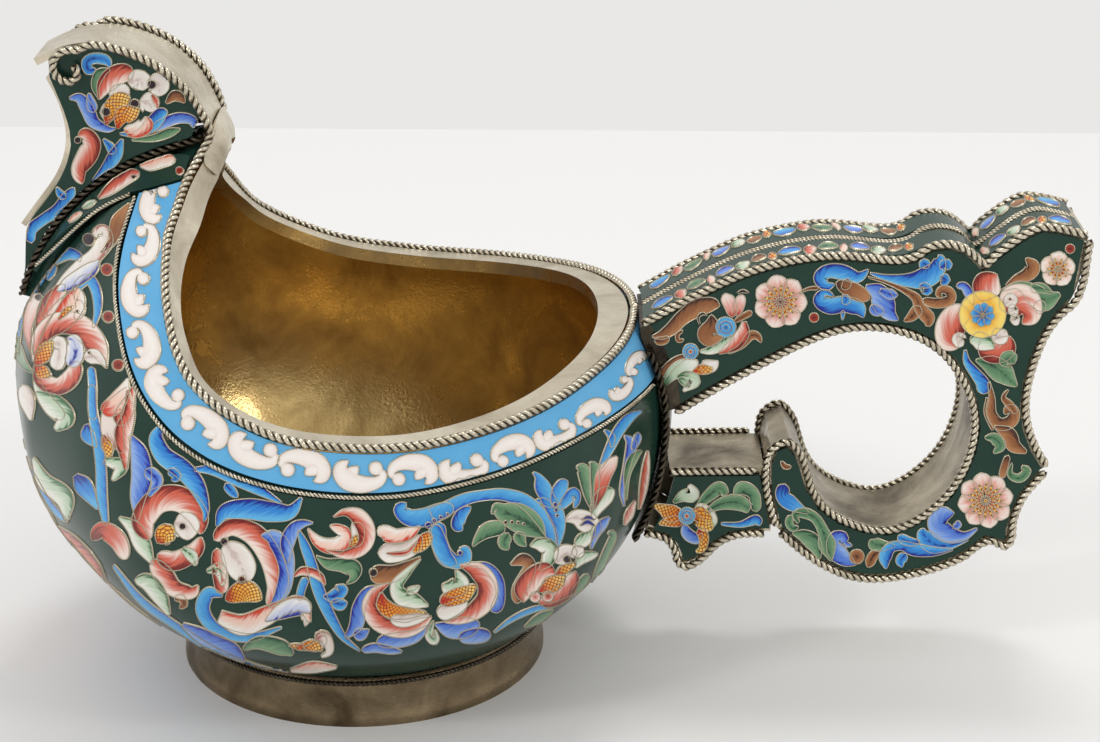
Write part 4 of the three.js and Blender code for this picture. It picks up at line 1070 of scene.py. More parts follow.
# The ornament as it is drawn, page by page. A page's view is where a magnified piece of the picture starts
# and how many times it is enlarged. A stroke is its paint, ends, flow, layer and stations: places in that
# view with the half width there. A flower is its paint, middle, radius, petals, turn in degrees, rays and
# layer; a disc is its paint, middle, radius and layer; a rosette is its middle and radius.
paintBook = [
    {"zone": "handle", "view": (620, 230, 7), "strokes": [
        ("brown", "pr", "across", 0, [(225, 745, 6), (290, 735, 28), (360, 690, 40), (440, 610, 46), (540, 545, 56),
         (640, 520, 44), (700, 530, 26)]),
        ("brown", "rr", "core", 1, [(240, 770, 22), (300, 775, 26), (345, 745, 16)]),
        ("brown", "rr", "core", 1, [(440, 700, 10), (400, 735, 12), (410, 775, 12), (450, 765, 9)]),
        ("brown", "rr", "along", 1, [(640, 590, 20), (640, 660, 44), (610, 730, 62), (640, 770, 40), (720, 740, 16)]),
        ("dark", "pr", "core", 2, [(560, 660, 4), (545, 610, 7), (580, 580, 8), (610, 600, 6)]),
        ("blush", "rr", "along", 1, [(790, 610, 26), (775, 530, 40), (745, 470, 38), (740, 440, 20)]),
        ("blush", "rr", "along", 1, [(815, 600, 22), (835, 520, 34), (860, 450, 24)]),
        ("dark", "pp", "core", 2, [(820, 440, 4), (860, 425, 10), (905, 440, 3)]),
        ("brown", "rr", "core", 2, [(800, 640, 12), (860, 605, 18), (925, 570, 20)]),
        ("red", "pp", "across", 1, [(870, 640, 14), (860, 720, 40), (800, 800, 40), (690, 860, 8)]),
        ("leafWhite", "pp", "across", 1, [(560, 850, 8), (640, 840, 26), (720, 800, 30), (790, 740, 14)]),
        ("brown", "pr", "core", 1, [(760, 860, 8), (850, 810, 18), (910, 740, 28), (960, 740, 22), (990, 790, 8)]),
        ("brown", "rp", "across", 0, [(290, 1020, 34), (350, 950, 30), (420, 900, 24), (480, 880, 10)]),
        ("leafWhite", "pp", "along", 1, [(300, 1095, 8), (360, 1010, 40), (440, 960, 52), (520, 930, 30),
         (545, 915, 5)]),
        ("leafWhite", "rp", "along", 1, [(400, 1020, 30), (470, 1040, 52), (520, 1060, 40), (440, 1125, 8)]),
        ("pearl", "rr", "along", 1, [(560, 960, 44), (640, 950, 40), (690, 915, 14)]),
        ("fire", "pp", "along", 2, [(510, 990, 6), (560, 975, 30), (620, 975, 26), (650, 960, 4)]),
        ("brown", "rp", "core", 0, [(1390, 405, 14), (1320, 410, 9), (1250, 440, 4)]),
    ], "flowers": [("rose", (1122, 500), 190, 7, -100, 14, 0)],
    "discs": [("stud", (1358, 612), 34)],
    "rosettes": [((740, 678), 72), ((493, 848), 56)]},
    {"zone": "handle", "view": (800, 220, 5), "strokes": [
        ("blue", "rr", "across", 0, [(175, 320, 10), (130, 330, 20), (100, 290, 30), (140, 255, 30), (210, 260, 34),
         (290, 285, 24), (345, 245, 5)]),
        ("blue", "rr", "core", 1, [(240, 290, 18), (230, 325, 20), (205, 340, 12)]),
        ("brown", "rr", "along", 1, [(180, 310, 20), (250, 345, 36), (320, 380, 30), (350, 395, 14)]),
        ("blue", "rr", "back", 0, [(170, 380, 10), (120, 360, 14), (98, 400, 30), (150, 430, 36), (220, 420, 36),
         (290, 440, 34), (320, 490, 6)]),
        ("blue", "rr", "core", 1, [(215, 370, 10), (230, 395, 20), (215, 420, 18)]),
        ("blue", "rp", "along", 1, [(215, 450, 12), (212, 500, 4)]),
        ("lilac", "pp", "across", 1, [(330, 330, 8), (390, 360, 40), (420, 420, 50), (450, 470, 30), (490, 500, 5)]),
        ("lilac", "pr", "core", 2, [(400, 350, 10), (450, 370, 24), (490, 375, 10)]),
        ("lilac", "rr", "core", 2, [(360, 420, 16), (375, 450, 24), (420, 455, 20)]),
        ("blue", "pp", "across", 0, [(350, 265, 4), (440, 290, 16), (540, 300, 30), (620, 290, 46), (680, 250, 40),
         (700, 190, 22), (690, 180, 6)]),
        ("blue", "rr", "core", 1, [(640, 240, 24), (620, 215, 22), (600, 240, 12)]),
        ("blue", "rr", "core", 1, [(700, 240, 26), (735, 220, 24), (745, 250, 12)]),
        ("blue", "rr", "core", 1, [(700, 280, 30), (730, 300, 20), (700, 320, 12)]),
        ("blue", "rr", "core", 1, [(600, 320, 20), (640, 350, 22), (620, 355, 14), (610, 330, 8)]),
        ("brown", "pp", "core", 0, [(340, 285, 3), (430, 310, 7), (520, 350, 12), (580, 390, 20), (600, 440, 26),
         (640, 490, 30), (640, 530, 10)]),
        ("brown", "rp", "core", 1, [(600, 430, 26), (560, 480, 22), (520, 505, 5)]),
        ("brown", "rr", "across", 1, [(610, 400, 16), (680, 415, 22), (750, 400, 22), (750, 360, 20), (710, 345, 16),
         (690, 370, 12), (715, 390, 8)]),
        ("red", "rr", "across", 1, [(905, 400, 40), (925, 345, 62), (955, 300, 60), (985, 270, 30)]),
        ("red", "rr", "back", 1, [(1000, 440, 50), (1060, 410, 78), (1120, 420, 80), (1150, 480, 50),
         (1110, 520, 20)]),
        ("pearl", "rr", "core", 2, [(1020, 420, 30), (1060, 400, 34), (1090, 400, 20)]),
        ("pearl", "rr", "core", 2, [(1040, 460, 34), (1090, 440, 36)]),
        ("pearl", "rr", "core", 2, [(1050, 500, 30), (1100, 490, 34)]),
        ("red", "rr", "back", 1, [(900, 600, 50), (960, 640, 66), (1020, 630, 60), (1050, 580, 40)]),
        ("pearl", "rr", "core", 2, [(960, 600, 34), (1010, 570, 40), (1030, 550, 20)]),
        ("leafWhite", "pp", "across", 2, [(850, 600, 10), (890, 600, 40), (940, 620, 30), (970, 640, 5)]),
        ("red", "rr", "across", 1, [(850, 470, 40), (790, 480, 60), (750, 540, 66), (740, 600, 50), (790, 640, 30)]),
        ("pearl", "rr", "core", 2, [(790, 560, 34), (800, 610, 30), (820, 600, 12)]),
        ("lilac", "rp", "across", 1, [(780, 330, 14), (820, 330, 18), (845, 370, 20), (865, 420, 5)]),
        ("brown", "pp", "across", 0, [(1030, 325, 4), (1080, 290, 14), (1140, 270, 30), (1165, 230, 30),
         (1130, 190, 6)]),
        ("sage", "pp", "core", 0, [(1010, 350, 5), (1090, 325, 16), (1160, 360, 40), (1220, 400, 50), (1300, 370, 8)]),
        ("sage", "rp", "core", 1, [(1190, 400, 30), (1200, 440, 26), (1190, 465, 6)]),
        ("sage", "rp", "core", 1, [(1150, 340, 20), (1210, 340, 22), (1260, 365, 6)]),
        ("blue", "pr", "across", 0, [(825, 650, 6), (835, 710, 16), (880, 770, 24), (915, 820, 30), (915, 870, 34)]),
        ("sage", "pp", "core", 0, [(880, 700, 5), (950, 720, 40), (1010, 760, 50), (1050, 800, 30), (1085, 830, 5)]),
        ("sage", "rr", "core", 1, [(1000, 720, 30), (1050, 690, 36), (1070, 720, 16)]),
    ], "flowers": [
        ("whiteRed", (1288, 245), 90, 5, -85, 10, 0),
        ("blue", (912, 470), 62, 8, 10, 0, 5),
    ],
    "discs": [
        ("gold", (912, 470), 118, 3),
        ("stud", (1350, 143), 24),
        ("stud", (1048, 392), 7, 5),
        ("dark", (1077, 440), 7, 5),
        ("dark", (1080, 485), 7, 5),
    ],
    "rosettes": []},
    {"zone": "handle", "view": (760, 380, 5.2), "strokes": [
        ("brown", "pr", "across", 0, [(1190, 10, 6), (1205, 90, 14), (1205, 180, 24), (1250, 230, 28), (1310, 210, 28),
         (1320, 160, 24), (1290, 150, 20), (1270, 180, 10)]),
        ("brown", "pp", "core", 1, [(1290, 50, 4), (1265, 90, 10), (1300, 130, 18), (1330, 170, 12)]),
        ("brown", "pp", "core", 0, [(1180, 90, 4), (1170, 170, 5), (1210, 260, 6)]),
        ("brown", "pp", "across", 1, [(1220, 240, 6), (1290, 280, 34), (1320, 340, 32), (1385, 375, 8)]),
        ("sage", "pp", "core", 1, [(1170, 300, 6), (1215, 300, 24), (1250, 340, 26), (1215, 380, 5)]),
        ("sage", "rp", "core", 0, [(1310, 430, 4), (1300, 490, 14), (1350, 510, 20), (1390, 470, 18), (1360, 450, 8)]),
        ("brown", "rr", "along", 1, [(1290, 390, 14), (1270, 450, 16), (1255, 510, 16)]),
        ("lilac", "rp", "across", 1, [(1010, 690, 14), (950, 700, 40), (920, 750, 44), (980, 800, 40), (1060, 810, 20),
         (1130, 770, 5)]),
        ("lilac", "rr", "core", 2, [(1000, 770, 10), (1030, 750, 18), (1020, 730, 8)]),
        ("blue", "pp", "core", 0, [(1080, 830, 5), (980, 860, 20), (900, 850, 44), (850, 800, 34), (850, 770, 5)]),
        ("blue", "pp", "across", 1, [(1000, 880, 5), (900, 890, 22), (800, 880, 30), (740, 860, 22), (680, 870, 24),
         (650, 920, 30), (655, 980, 5)]),
        ("blue", "pp", "core", 1, [(830, 840, 8), (780, 840, 20), (730, 820, 20), (715, 815, 4)]),
        ("blue", "rp", "core", 1, [(760, 900, 20), (730, 940, 24), (740, 970, 5)]),
        ("sage", "pp", "core", 0, [(700, 860, 5), (640, 860, 24), (590, 850, 30), (575, 830, 6)]),
        ("brown", "rr", "core", 1, [(620, 890, 14), (590, 910, 22), (570, 950, 22), (560, 975, 6)]),
        ("lilac", "rr", "back", 0, [(480, 860, 12), (440, 850, 16), (430, 820, 30), (395, 830, 40), (400, 890, 44),
         (440, 930, 34), (500, 960, 10)]),
        ("sage", "pp", "core", 0, [(200, 740, 8), (180, 700, 14), (230, 690, 24), (290, 720, 22), (330, 790, 26),
         (350, 860, 40), (370, 940, 5)]),
        ("sage", "rr", "core", 0, [(200, 760, 10), (170, 770, 16), (150, 740, 18), (165, 700, 14)]),
        ("sage", "pp", "across", 0, [(170, 795, 6), (230, 810, 30), (280, 850, 36), (310, 930, 6)]),
        ("blue", "rp", "along", 0, [(130, 540, 34), (115, 600, 30), (160, 640, 34), (250, 690, 6)]),
        ("brown", "rr", "core", 0, [(110, 420, 8), (130, 450, 12), (165, 450, 8)]),
    ], "flowers": [("rose", (1172, 625), 146, 8, -100, 16, 0)],
    "discs": [("brown", (503, 917), 38, 1)],
    "rosettes": []},
    {"zone": "bracket", "view": (600, 180, 3.136), "strokes": [
        ("leafWhite", "pp", "along", 1, [(230, 1010, 4), (260, 990, 16), (290, 985, 20), (280, 955, 5)]),
        ("fire", "pp", "along", 1, [(270, 1050, 8), (225, 1045, 24), (195, 1030, 14), (168, 1018, 4)]),
        ("fire", "rp", "along", 0, [(260, 1070, 16), (215, 1070, 14), (185, 1078, 4)]),
        ("leafWhite", "rr", "back", 0, [(300, 1020, 16), (340, 1050, 18), (360, 1085, 12)]),
        ("gold", "rp", "along", 1, [(285, 1060, 14), (310, 1050, 26), (335, 1080, 22), (355, 1090, 6)]),
        ("lilac", "rp", "across", 0, [(262, 1080, 10), (275, 1110, 16), (305, 1125, 14), (320, 1110, 4)]),
        ("gold", "rp", "along", 1, [(310, 1090, 14), (325, 1120, 14), (320, 1155, 10), (300, 1165, 4)]),
        ("sage", "pp", "core", 0, [(300, 1030, 4), (340, 990, 16), (375, 965, 18), (395, 985, 10)]),
        ("sage", "pp", "core", 0, [(330, 1040, 5), (380, 1015, 16), (430, 1010, 22), (470, 1030, 14)]),
        ("sage", "rr", "across", 0, [(490, 1040, 14), (482, 985, 16), (445, 965, 18), (420, 990, 8)]),
        ("blue", "pr", "across", 0, [(380, 1078, 4), (440, 1080, 8), (490, 1065, 14), (500, 1085, 8)]),
    ], "flowers": [],
    "discs": [],
    "rosettes": [((272, 1052), 27)]},
    {"zone": "bowl", "view": (10, 170, 6), "strokes": [
        ("blue", "pr", "across", 0, [(50, 1120, 8), (56, 960, 14), (90, 820, 14), (150, 690, 16), (240, 570, 24),
         (340, 505, 32), (410, 520, 24), (425, 555, 10)]),
        ("blue", "rp", "core", 1, [(270, 560, 20), (250, 620, 22), (230, 660, 8)]),
        ("stem", "pp", "across", 0, [(400, 780, 6), (420, 690, 26), (480, 660, 28), (520, 730, 26), (530, 840, 20),
         (505, 950, 6)]),
        ("stem", "rr", "across", 0, [(490, 1180, 20), (500, 1290, 22), (500, 1400, 22), (505, 1500, 22)]),
        ("brown", "pp", "along", 0, [(550, 500, 4), (620, 420, 26), (650, 310, 36), (695, 235, 16), (725, 198, 3)]),
        ("white", "rp", "across", 1, [(500, 400, 30), (560, 360, 30), (575, 430, 44), (520, 510, 40), (440, 590, 50),
         (350, 680, 46), (270, 770, 26), (200, 880, 6)]),
        ("lilacPearl", "pp", "across", 2, [(540, 545, 5), (500, 590, 34), (430, 640, 40), (350, 690, 34),
         (290, 730, 5)]),
        ("red", "pp", "across", 1, [(155, 1110, 6), (185, 960, 26), (230, 830, 46), (300, 730, 36), (335, 690, 5)]),
        ("whiteRed", "pr", "across", 1, [(180, 1090, 6), (250, 970, 40), (330, 890, 60), (390, 800, 60),
         (420, 710, 30)]),
        ("fire", "pp", "along", 3, [(300, 900, 4), (345, 850, 16), (385, 820, 4)]),
        ("blush", "pr", "along", 1, [(140, 1110, 6), (112, 960, 22), (140, 830, 36), (185, 740, 26)]),
        ("pearl", "rr", "core", 1, [(400, 900, 20), (430, 840, 24), (410, 780, 16)]),
        ("red", "pp", "back", 2, [(150, 1150, 8), (180, 1020, 40), (270, 930, 56), (390, 925, 60), (480, 990, 60),
         (540, 1080, 50), (585, 1185, 4)]),
        ("red", "pr", "back", 2, [(155, 1170, 8), (200, 1260, 40), (290, 1300, 44), (370, 1250, 46), (420, 1150, 30)]),
        ("lilacPearl", "rr", "core", 3, [(360, 1180, 40), (400, 1110, 46), (390, 1030, 40), (350, 1010, 20)]),
        ("pearl", "rr", "core", 3, [(260, 1060, 30), (300, 1040, 40), (300, 1120, 40), (280, 1200, 40)]),
        ("fire", "pp", "along", 4, [(160, 1170, 8), (200, 1120, 40), (240, 1060, 34), (270, 1030, 6)]),
        ("fire", "pp", "along", 4, [(160, 1180, 8), (200, 1210, 36), (250, 1240, 10)]),
        ("pearl", "rp", "core", 3, [(450, 1130, 30), (510, 1120, 40), (560, 1150, 20), (585, 1190, 4)]),
        ("whiteRed", "rp", "along", 1, [(550, 1440, 40), (620, 1420, 50), (680, 1340, 40), (712, 1250, 4)]),
        ("red", "rp", "across", 2, [(650, 1530, 40), (700, 1440, 44), (735, 1350, 20), (738, 1300, 4)]),
        ("leafWhite", "pr", "across", 1, [(150, 1200, 5), (180, 1310, 26), (250, 1420, 40), (330, 1490, 30)]),
        ("sage", "pp", "across", 1, [(145, 1220, 4), (90, 1170, 20), (50, 1080, 26), (45, 990, 5)]),
        ("pearl", "rp", "across", 1, [(80, 1290, 30), (110, 1390, 40), (130, 1500, 8)]),
    ], "flowers": [],
    "discs": [
        ("dark", (480, 420), 36, 3),
        ("stud", (422, 383), 26),
        ("stud", (585, 598), 36),
        ("stud", (592, 882), 36),
        ("stud", (652, 1172), 36),
        ("dark", (182, 768), 20, 3),
        ("dark", (487, 1100), 9, 5),
        ("dark", (412, 850), 9, 3),
        ("dark", (390, 715), 9, 3),
    ],
    "rosettes": []},
    {"zone": "bowl", "view": (0, 300, 3.5475), "strokes": [
        ("leafWhite", "pp", "across", 1, [(130, 330, 8), (190, 370, 34), (235, 420, 30), (200, 460, 8)]),
        ("stem", "rr", "across", 0, [(330, 300, 12), (330, 380, 14), (345, 470, 16), (360, 580, 16), (365, 700, 16),
         (380, 800, 8)]),
        ("blue", "pp", "along", 1, [(310, 440, 6), (315, 480, 22), (345, 520, 5)]),
        ("blue", "pp", "along", 1, [(270, 620, 8), (300, 660, 28), (350, 740, 5)]),
        ("white", "pp", "along", 1, [(440, 540, 8), (405, 470, 34), (400, 400, 30), (430, 350, 20), (452, 312, 4)]),
        ("red", "pp", "back", 2, [(458, 320, 4), (462, 400, 18), (440, 480, 26), (450, 600, 5)]),
        ("gold", "pp", "along", 1, [(368, 480, 6), (385, 520, 18), (392, 560, 5)]),
        ("leafWhite", "pp", "across", 1, [(372, 570, 10), (430, 590, 22), (402, 640, 5)]),
        ("lilac", "pp", "across", 1, [(465, 480, 5), (495, 540, 26), (505, 620, 32), (492, 700, 24), (490, 780, 5)]),
        ("lilac", "rp", "core", 2, [(520, 600, 20), (560, 640, 18), (532, 695, 5)]),
        ("blue", "pp", "across", 1, [(575, 445, 8), (556, 490, 22), (582, 550, 28), (650, 600, 30), (700, 660, 26),
         (730, 740, 12), (725, 785, 3)]),
        ("blue", "rr", "core", 2, [(600, 600, 14), (630, 625, 14), (610, 640, 8)]),
        ("blue", "pp", "across", 1, [(690, 600, 6), (760, 604, 16), (850, 640, 20), (930, 680, 14), (1000, 720, 3)]),
        ("blue", "rr", "core", 2, [(800, 650, 14), (825, 680, 14), (845, 700, 6)]),
        ("red", "rr", "across", 1, [(530, 850, 20), (510, 780, 36), (560, 712, 40), (640, 705, 40), (700, 760, 34),
         (715, 830, 16)]),
        ("red", "rr", "back", 1, [(560, 900, 20), (620, 925, 30), (690, 890, 26), (715, 840, 14)]),
        ("pearl", "rr", "core", 2, [(620, 790, 40), (660, 800, 46), (670, 850, 26)]),
        ("gold", "rr", "along", 2, [(560, 860, 20), (590, 830, 34), (620, 850, 24)]),
        ("leafWhite", "pp", "across", 1, [(425, 770, 4), (480, 810, 24), (510, 870, 26), (545, 935, 4)]),
        ("red", "rr", "across", 1, [(540, 920, 18), (580, 970, 30), (620, 1020, 26), (680, 1035, 20), (705, 1010, 8)]),
        ("leafWhite", "pp", "core", 2, [(650, 880, 8), (682, 905, 18), (697, 940, 4)]),
        ("blue", "pp", "across", 1, [(770, 800, 5), (800, 750, 24), (880, 740, 32), (960, 750, 32), (1030, 750, 22),
         (1070, 700, 4)]),
        ("red", "rr", "across", 1, [(760, 850, 20), (820, 805, 26), (900, 830, 34), (960, 910, 36), (985, 1010, 34),
         (950, 1085, 14)]),
        ("red", "rr", "back", 1, [(770, 880, 16), (780, 960, 24), (790, 1040, 20)]),
        ("pearl", "rr", "core", 2, [(800, 860, 34), (850, 930, 46), (880, 1000, 34)]),
        ("gold", "rr", "along", 3, [(800, 1060, 16), (870, 1030, 34), (930, 1060, 16)]),
        ("whiteRed", "pp", "across", 1, [(780, 1120, 20), (860, 1150, 32), (940, 1120, 30), (1000, 1090, 24),
         (1070, 1075, 22), (1100, 1140, 5)]),
        ("stem", "pp", "across", 0, [(790, 1045, 6), (740, 1040, 20), (720, 1100, 22), (770, 1165, 18),
         (880, 1195, 14), (1000, 1160, 4)]),
        ("leafWhite", "pp", "core", 1, [(735, 960, 5), (780, 955, 20), (792, 1012, 5)]),
        ("red", "rr", "along", 1, [(330, 850, 16), (365, 815, 26), (420, 850, 28), (450, 920, 16)]),
        ("stem", "pp", "across", 0, [(405, 940, 5), (500, 1060, 12), (620, 1150, 12), (760, 1240, 12), (900, 1300, 12),
         (1030, 1325, 4)]),
        ("leafWhite", "rp", "across", 1, [(480, 990, 14), (530, 1000, 26), (570, 1050, 24), (602, 1115, 5)]),
        ("brown", "rr", "core", 1, [(620, 1060, 10), (645, 1055, 12), (655, 1080, 10), (635, 1088, 6)]),
        ("lilac", "pp", "across", 1, [(650, 1150, 8), (720, 1190, 24), (820, 1240, 26), (870, 1280, 5)]),
        ("sage", "pp", "across", 1, [(865, 1235, 6), (920, 1212, 20), (1000, 1230, 24), (1040, 1255, 5)]),
        ("fire", "pp", "along", 1, [(1050, 1232, 5), (1110, 1222, 18), (1145, 1240, 4)]),
        ("white", "rp", "along", 2, [(1120, 1200, 14), (1150, 1190, 18), (1170, 1240, 12), (1140, 1262, 4)]),
        ("whiteRed", "pp", "across", 1, [(1030, 1312, 5), (1110, 1300, 18), (1195, 1300, 5)]),
        ("leafWhite", "pp", "across", 1, [(120, 560, 5), (160, 640, 24), (230, 700, 30), (240, 780, 6)]),
        ("sage", "pp", "across", 1, [(95, 640, 4), (120, 740, 18), (200, 830, 22), (300, 900, 5)]),
        ("red", "pp", "across", 1, [(200, 800, 5), (260, 860, 22), (330, 940, 22), (380, 1010, 5)]),
        ("lilac", "pp", "across", 1, [(280, 960, 4), (360, 1060, 18), (460, 1140, 22), (540, 1180, 5)]),
        ("leafWhite", "pp", "along", 1, [(560, 1190, 5), (640, 1250, 20), (740, 1300, 20), (800, 1330, 4)]),
    ], "flowers": [],
    "discs": [
        ("stud", (387, 60), 19),
        ("stud", (422, 230), 19),
        ("dark", (797, 853), 13, 4),
        ("dark", (858, 988), 13, 4),
        ("dark", (650, 800), 12, 4),
    ],
    "rosettes": []},
    {"zone": "bowl", "view": (240, 470, 7.4), "strokes": [
        ("lilac", "pp", "across", 1, [(220, 1010, 5), (310, 900, 44), (345, 740, 50), (320, 600, 62), (250, 500, 54),
         (160, 480, 8)]),
        ("lilac", "pp", "across", 2, [(350, 680, 8), (350, 540, 46), (400, 430, 40), (470, 392, 24), (542, 390, 4)]),
        ("stem", "pp", "across", 0, [(430, 440, 8), (480, 560, 30), (530, 700, 34), (570, 850, 38), (620, 980, 38),
         (690, 1120, 32), (770, 1240, 20), (890, 1335, 5)]),
        ("stem", "rr", "across", 0, [(490, 790, 26), (455, 880, 26), (440, 960, 22)]),
        ("red", "pp", "across", 1, [(398, 785, 5), (460, 745, 26), (540, 755, 28), (600, 795, 22), (632, 850, 4)]),
        ("blue", "pp", "core", 1, [(620, 930, 8), (690, 930, 40), (760, 880, 36), (705, 858, 8)]),
        ("blue", "rr", "core", 1, [(680, 960, 30), (740, 990, 40), (795, 975, 20)]),
        ("whiteRed", "pr", "back", 1, [(500, 430, 4), (570, 520, 34), (660, 560, 50), (750, 540, 50), (780, 470, 40),
         (720, 430, 30), (660, 410, 12)]),
        ("red", "pp", "back", 2, [(690, 345, 4), (780, 310, 24), (870, 340, 52), (930, 430, 58), (930, 530, 50),
         (860, 600, 40), (760, 620, 26), (640, 590, 5)]),
        ("pearl", "rr", "core", 3, [(830, 390, 30), (870, 440, 44), (870, 520, 34), (830, 560, 16)]),
        ("gold", "pp", "along", 4, [(810, 570, 5), (845, 520, 24), (865, 470, 4)]),
        ("sage", "pp", "across", 0, [(565, 635, 5), (650, 690, 34), (750, 700, 44), (840, 730, 56), (840, 800, 24),
         (788, 840, 4)]),
        ("whiteRed", "rp", "back", 1, [(1020, 480, 40), (1060, 460, 50), (1150, 490, 50), (1250, 465, 40),
         (1335, 415, 6)]),
        ("pearl", "rr", "across", 1, [(1020, 610, 40), (1090, 610, 64), (1190, 600, 60), (1280, 560, 50),
         (1340, 480, 30)]),
        ("red", "pp", "core", 3, [(1080, 610, 4), (1150, 615, 14), (1240, 600, 16), (1310, 520, 4)]),
        ("fire", "rr", "across", 2, [(1280, 610, 14), (1340, 550, 40), (1385, 490, 40), (1400, 450, 14)]),
        ("brown", "rp", "across", 0, [(960, 760, 60), (1040, 770, 62), (1140, 760, 54), (1240, 710, 36),
         (1335, 640, 5)]),
        ("stem", "rr", "back", 0, [(1230, 240, 24), (1185, 290, 44), (1250, 350, 54), (1360, 350, 60), (1470, 310, 56),
         (1580, 270, 44)]),
        ("stem", "rr", "across", 0, [(1430, 400, 40), (1470, 530, 52), (1520, 650, 50), (1600, 700, 30)]),
        ("leafWhite", "pp", "across", 2, [(1335, 655, 4), (1230, 760, 26), (1160, 850, 40), (1190, 930, 54),
         (1290, 965, 50), (1395, 1000, 6)]),
        ("leafWhite", "rp", "core", 2, [(1230, 900, 24), (1290, 880, 24), (1330, 855, 4)]),
        ("red", "pp", "across", 1, [(1100, 835, 6), (1000, 900, 34), (955, 1000, 46), (1000, 1100, 54),
         (1100, 1160, 54), (1230, 1175, 50), (1340, 1130, 40), (1415, 1080, 6)]),
        ("fire", "pp", "along", 2, [(1040, 900, 8), (1060, 990, 46), (1130, 1040, 46), (1250, 1050, 36),
         (1380, 1050, 6)]),
        ("pearl", "rp", "across", 2, [(1110, 1090, 30), (1200, 1110, 40), (1310, 1090, 34), (1400, 1070, 5)]),
        ("lilac", "pp", "across", 0, [(780, 1240, 8), (860, 1140, 46), (880, 1010, 42), (940, 900, 30),
         (1035, 850, 4)]),
        ("lilac", "rp", "core", 0, [(840, 1200, 40), (900, 1210, 40), (955, 1175, 5)]),
        ("lilac", "rp", "across", 0, [(1010, 1270, 30), (1080, 1260, 44), (1180, 1250, 50), (1300, 1220, 40),
         (1405, 1140, 6)]),
        ("lilac", "rp", "across", 0, [(900, 1330, 20), (1000, 1310, 30), (1120, 1330, 24), (1200, 1340, 5)]),
        ("lilacPearl", "pr", "back", 2, [(190, 1110, 6), (290, 1050, 46), (390, 1010, 60), (480, 1010, 50),
         (520, 1050, 24)]),
        ("pearl", "rp", "core", 2, [(450, 1060, 34), (495, 1090, 30), (480, 1150, 5)]),
        ("leafWhite", "pp", "core", 1, [(1430, 1110, 4), (1400, 1210, 30), (1440, 1250, 34), (1440, 1180, 8)]),
        ("pearl", "rp", "across", 1, [(560, 1200, 30), (600, 1250, 40), (560, 1300, 34), (470, 1310, 5)]),
        ("fire", "rp", "along", 1, [(480, 1310, 24), (430, 1300, 20), (360, 1290, 5)]),
    ], "flowers": [],
    "discs": [
        ("dark", (985, 752), 30, 3),
        ("navy", (1392, 405), 24, 2),
        ("navy", (1435, 372), 18, 2),
        ("navy", (1483, 345), 13, 2),
        ("navy", (1533, 322), 10, 2),
        ("stud", (20, 800), 26, 4),
    ],
    "rosettes": []},
    {"zone": "bowl", "view": (430, 400, 6.4), "strokes": [
        ("stem", "pp", "back", 0, [(10, 740, 44), (110, 690, 40), (220, 635, 34), (340, 610, 30), (470, 605, 34),
         (600, 645, 40), (700, 740, 44), (770, 850, 34), (815, 960, 5)]),
        ("stem", "rr", "across", 0, [(60, 780, 40), (55, 880, 44), (90, 980, 46), (160, 1035, 40), (225, 1010, 34),
         (225, 955, 24), (180, 955, 12)]),
        ("blue", "rr", "back", 1, [(260, 680, 14), (200, 730, 34), (175, 800, 36), (210, 830, 20)]),
        ("stem", "pp", "across", 1, [(815, 940, 5), (825, 820, 30), (800, 720, 46), (750, 630, 40), (715, 550, 44),
         (690, 490, 20), (655, 460, 4)]),
        ("stem", "rr", "across", 1, [(790, 690, 20), (810, 600, 36), (850, 535, 34), (880, 515, 14)]),
        ("stem", "rp", "across", 1, [(820, 700, 16), (870, 640, 30), (920, 590, 30), (935, 640, 20), (920, 690, 5)]),
        ("blue", "rp", "core", 1, [(780, 680, 16), (720, 645, 20), (672, 640, 4)]),
        ("sage", "pp", "core", 0, [(735, 885, 5), (660, 810, 66), (560, 750, 80), (460, 710, 50), (420, 680, 20),
         (395, 730, 6)]),
        ("sage", "rp", "across", 1, [(480, 810, 40), (370, 830, 44), (310, 880, 24), (270, 935, 4)]),
        ("sage", "rr", "core", 1, [(500, 850, 34), (470, 910, 34), (500, 955, 20)]),
        ("sage", "rp", "core", 1, [(560, 840, 40), (580, 900, 30), (612, 932, 5)]),
        ("brown", "pr", "across", 0, [(515, 1050, 6), (590, 1020, 36), (640, 1050, 30), (610, 1130, 40),
         (565, 1210, 38), (550, 1300, 24)]),
        ("leafWhite", "pp", "across", 1, [(640, 930, 6), (700, 920, 40), (765, 950, 44), (750, 1020, 36),
         (695, 1085, 6)]),
        ("red", "rr", "across", 1, [(590, 1290, 24), (600, 1210, 60), (660, 1130, 60), (740, 1090, 50),
         (800, 1110, 20)]),
        ("red", "rr", "back", 1, [(690, 1290, 30), (780, 1270, 44), (860, 1210, 50), (915, 1130, 36),
         (930, 1090, 10)]),
        ("fire", "pp", "along", 3, [(690, 1220, 6), (760, 1180, 46), (820, 1150, 36), (860, 1120, 5)]),
        ("pearl", "rr", "core", 2, [(800, 1040, 40), (850, 990, 56), (900, 970, 40), (910, 1010, 20)]),
        ("gold", "pp", "along", 3, [(800, 1110, 6), (850, 1080, 26), (930, 1040, 5)]),
        ("leafWhite", "pp", "across", 1, [(925, 1070, 5), (970, 1010, 30), (1030, 990, 24), (1072, 980, 4)]),
        ("pearl", "rr", "across", 2, [(900, 980, 24), (945, 960, 40), (970, 930, 16)]),
        ("leafWhite", "rp", "across", 2, [(920, 920, 24), (980, 890, 40), (1030, 850, 20), (1045, 800, 5)]),
        ("pearl", "pr", "core", 1, [(860, 770, 6), (930, 750, 44), (1000, 780, 60), (1045, 820, 44), (1045, 880, 20)]),
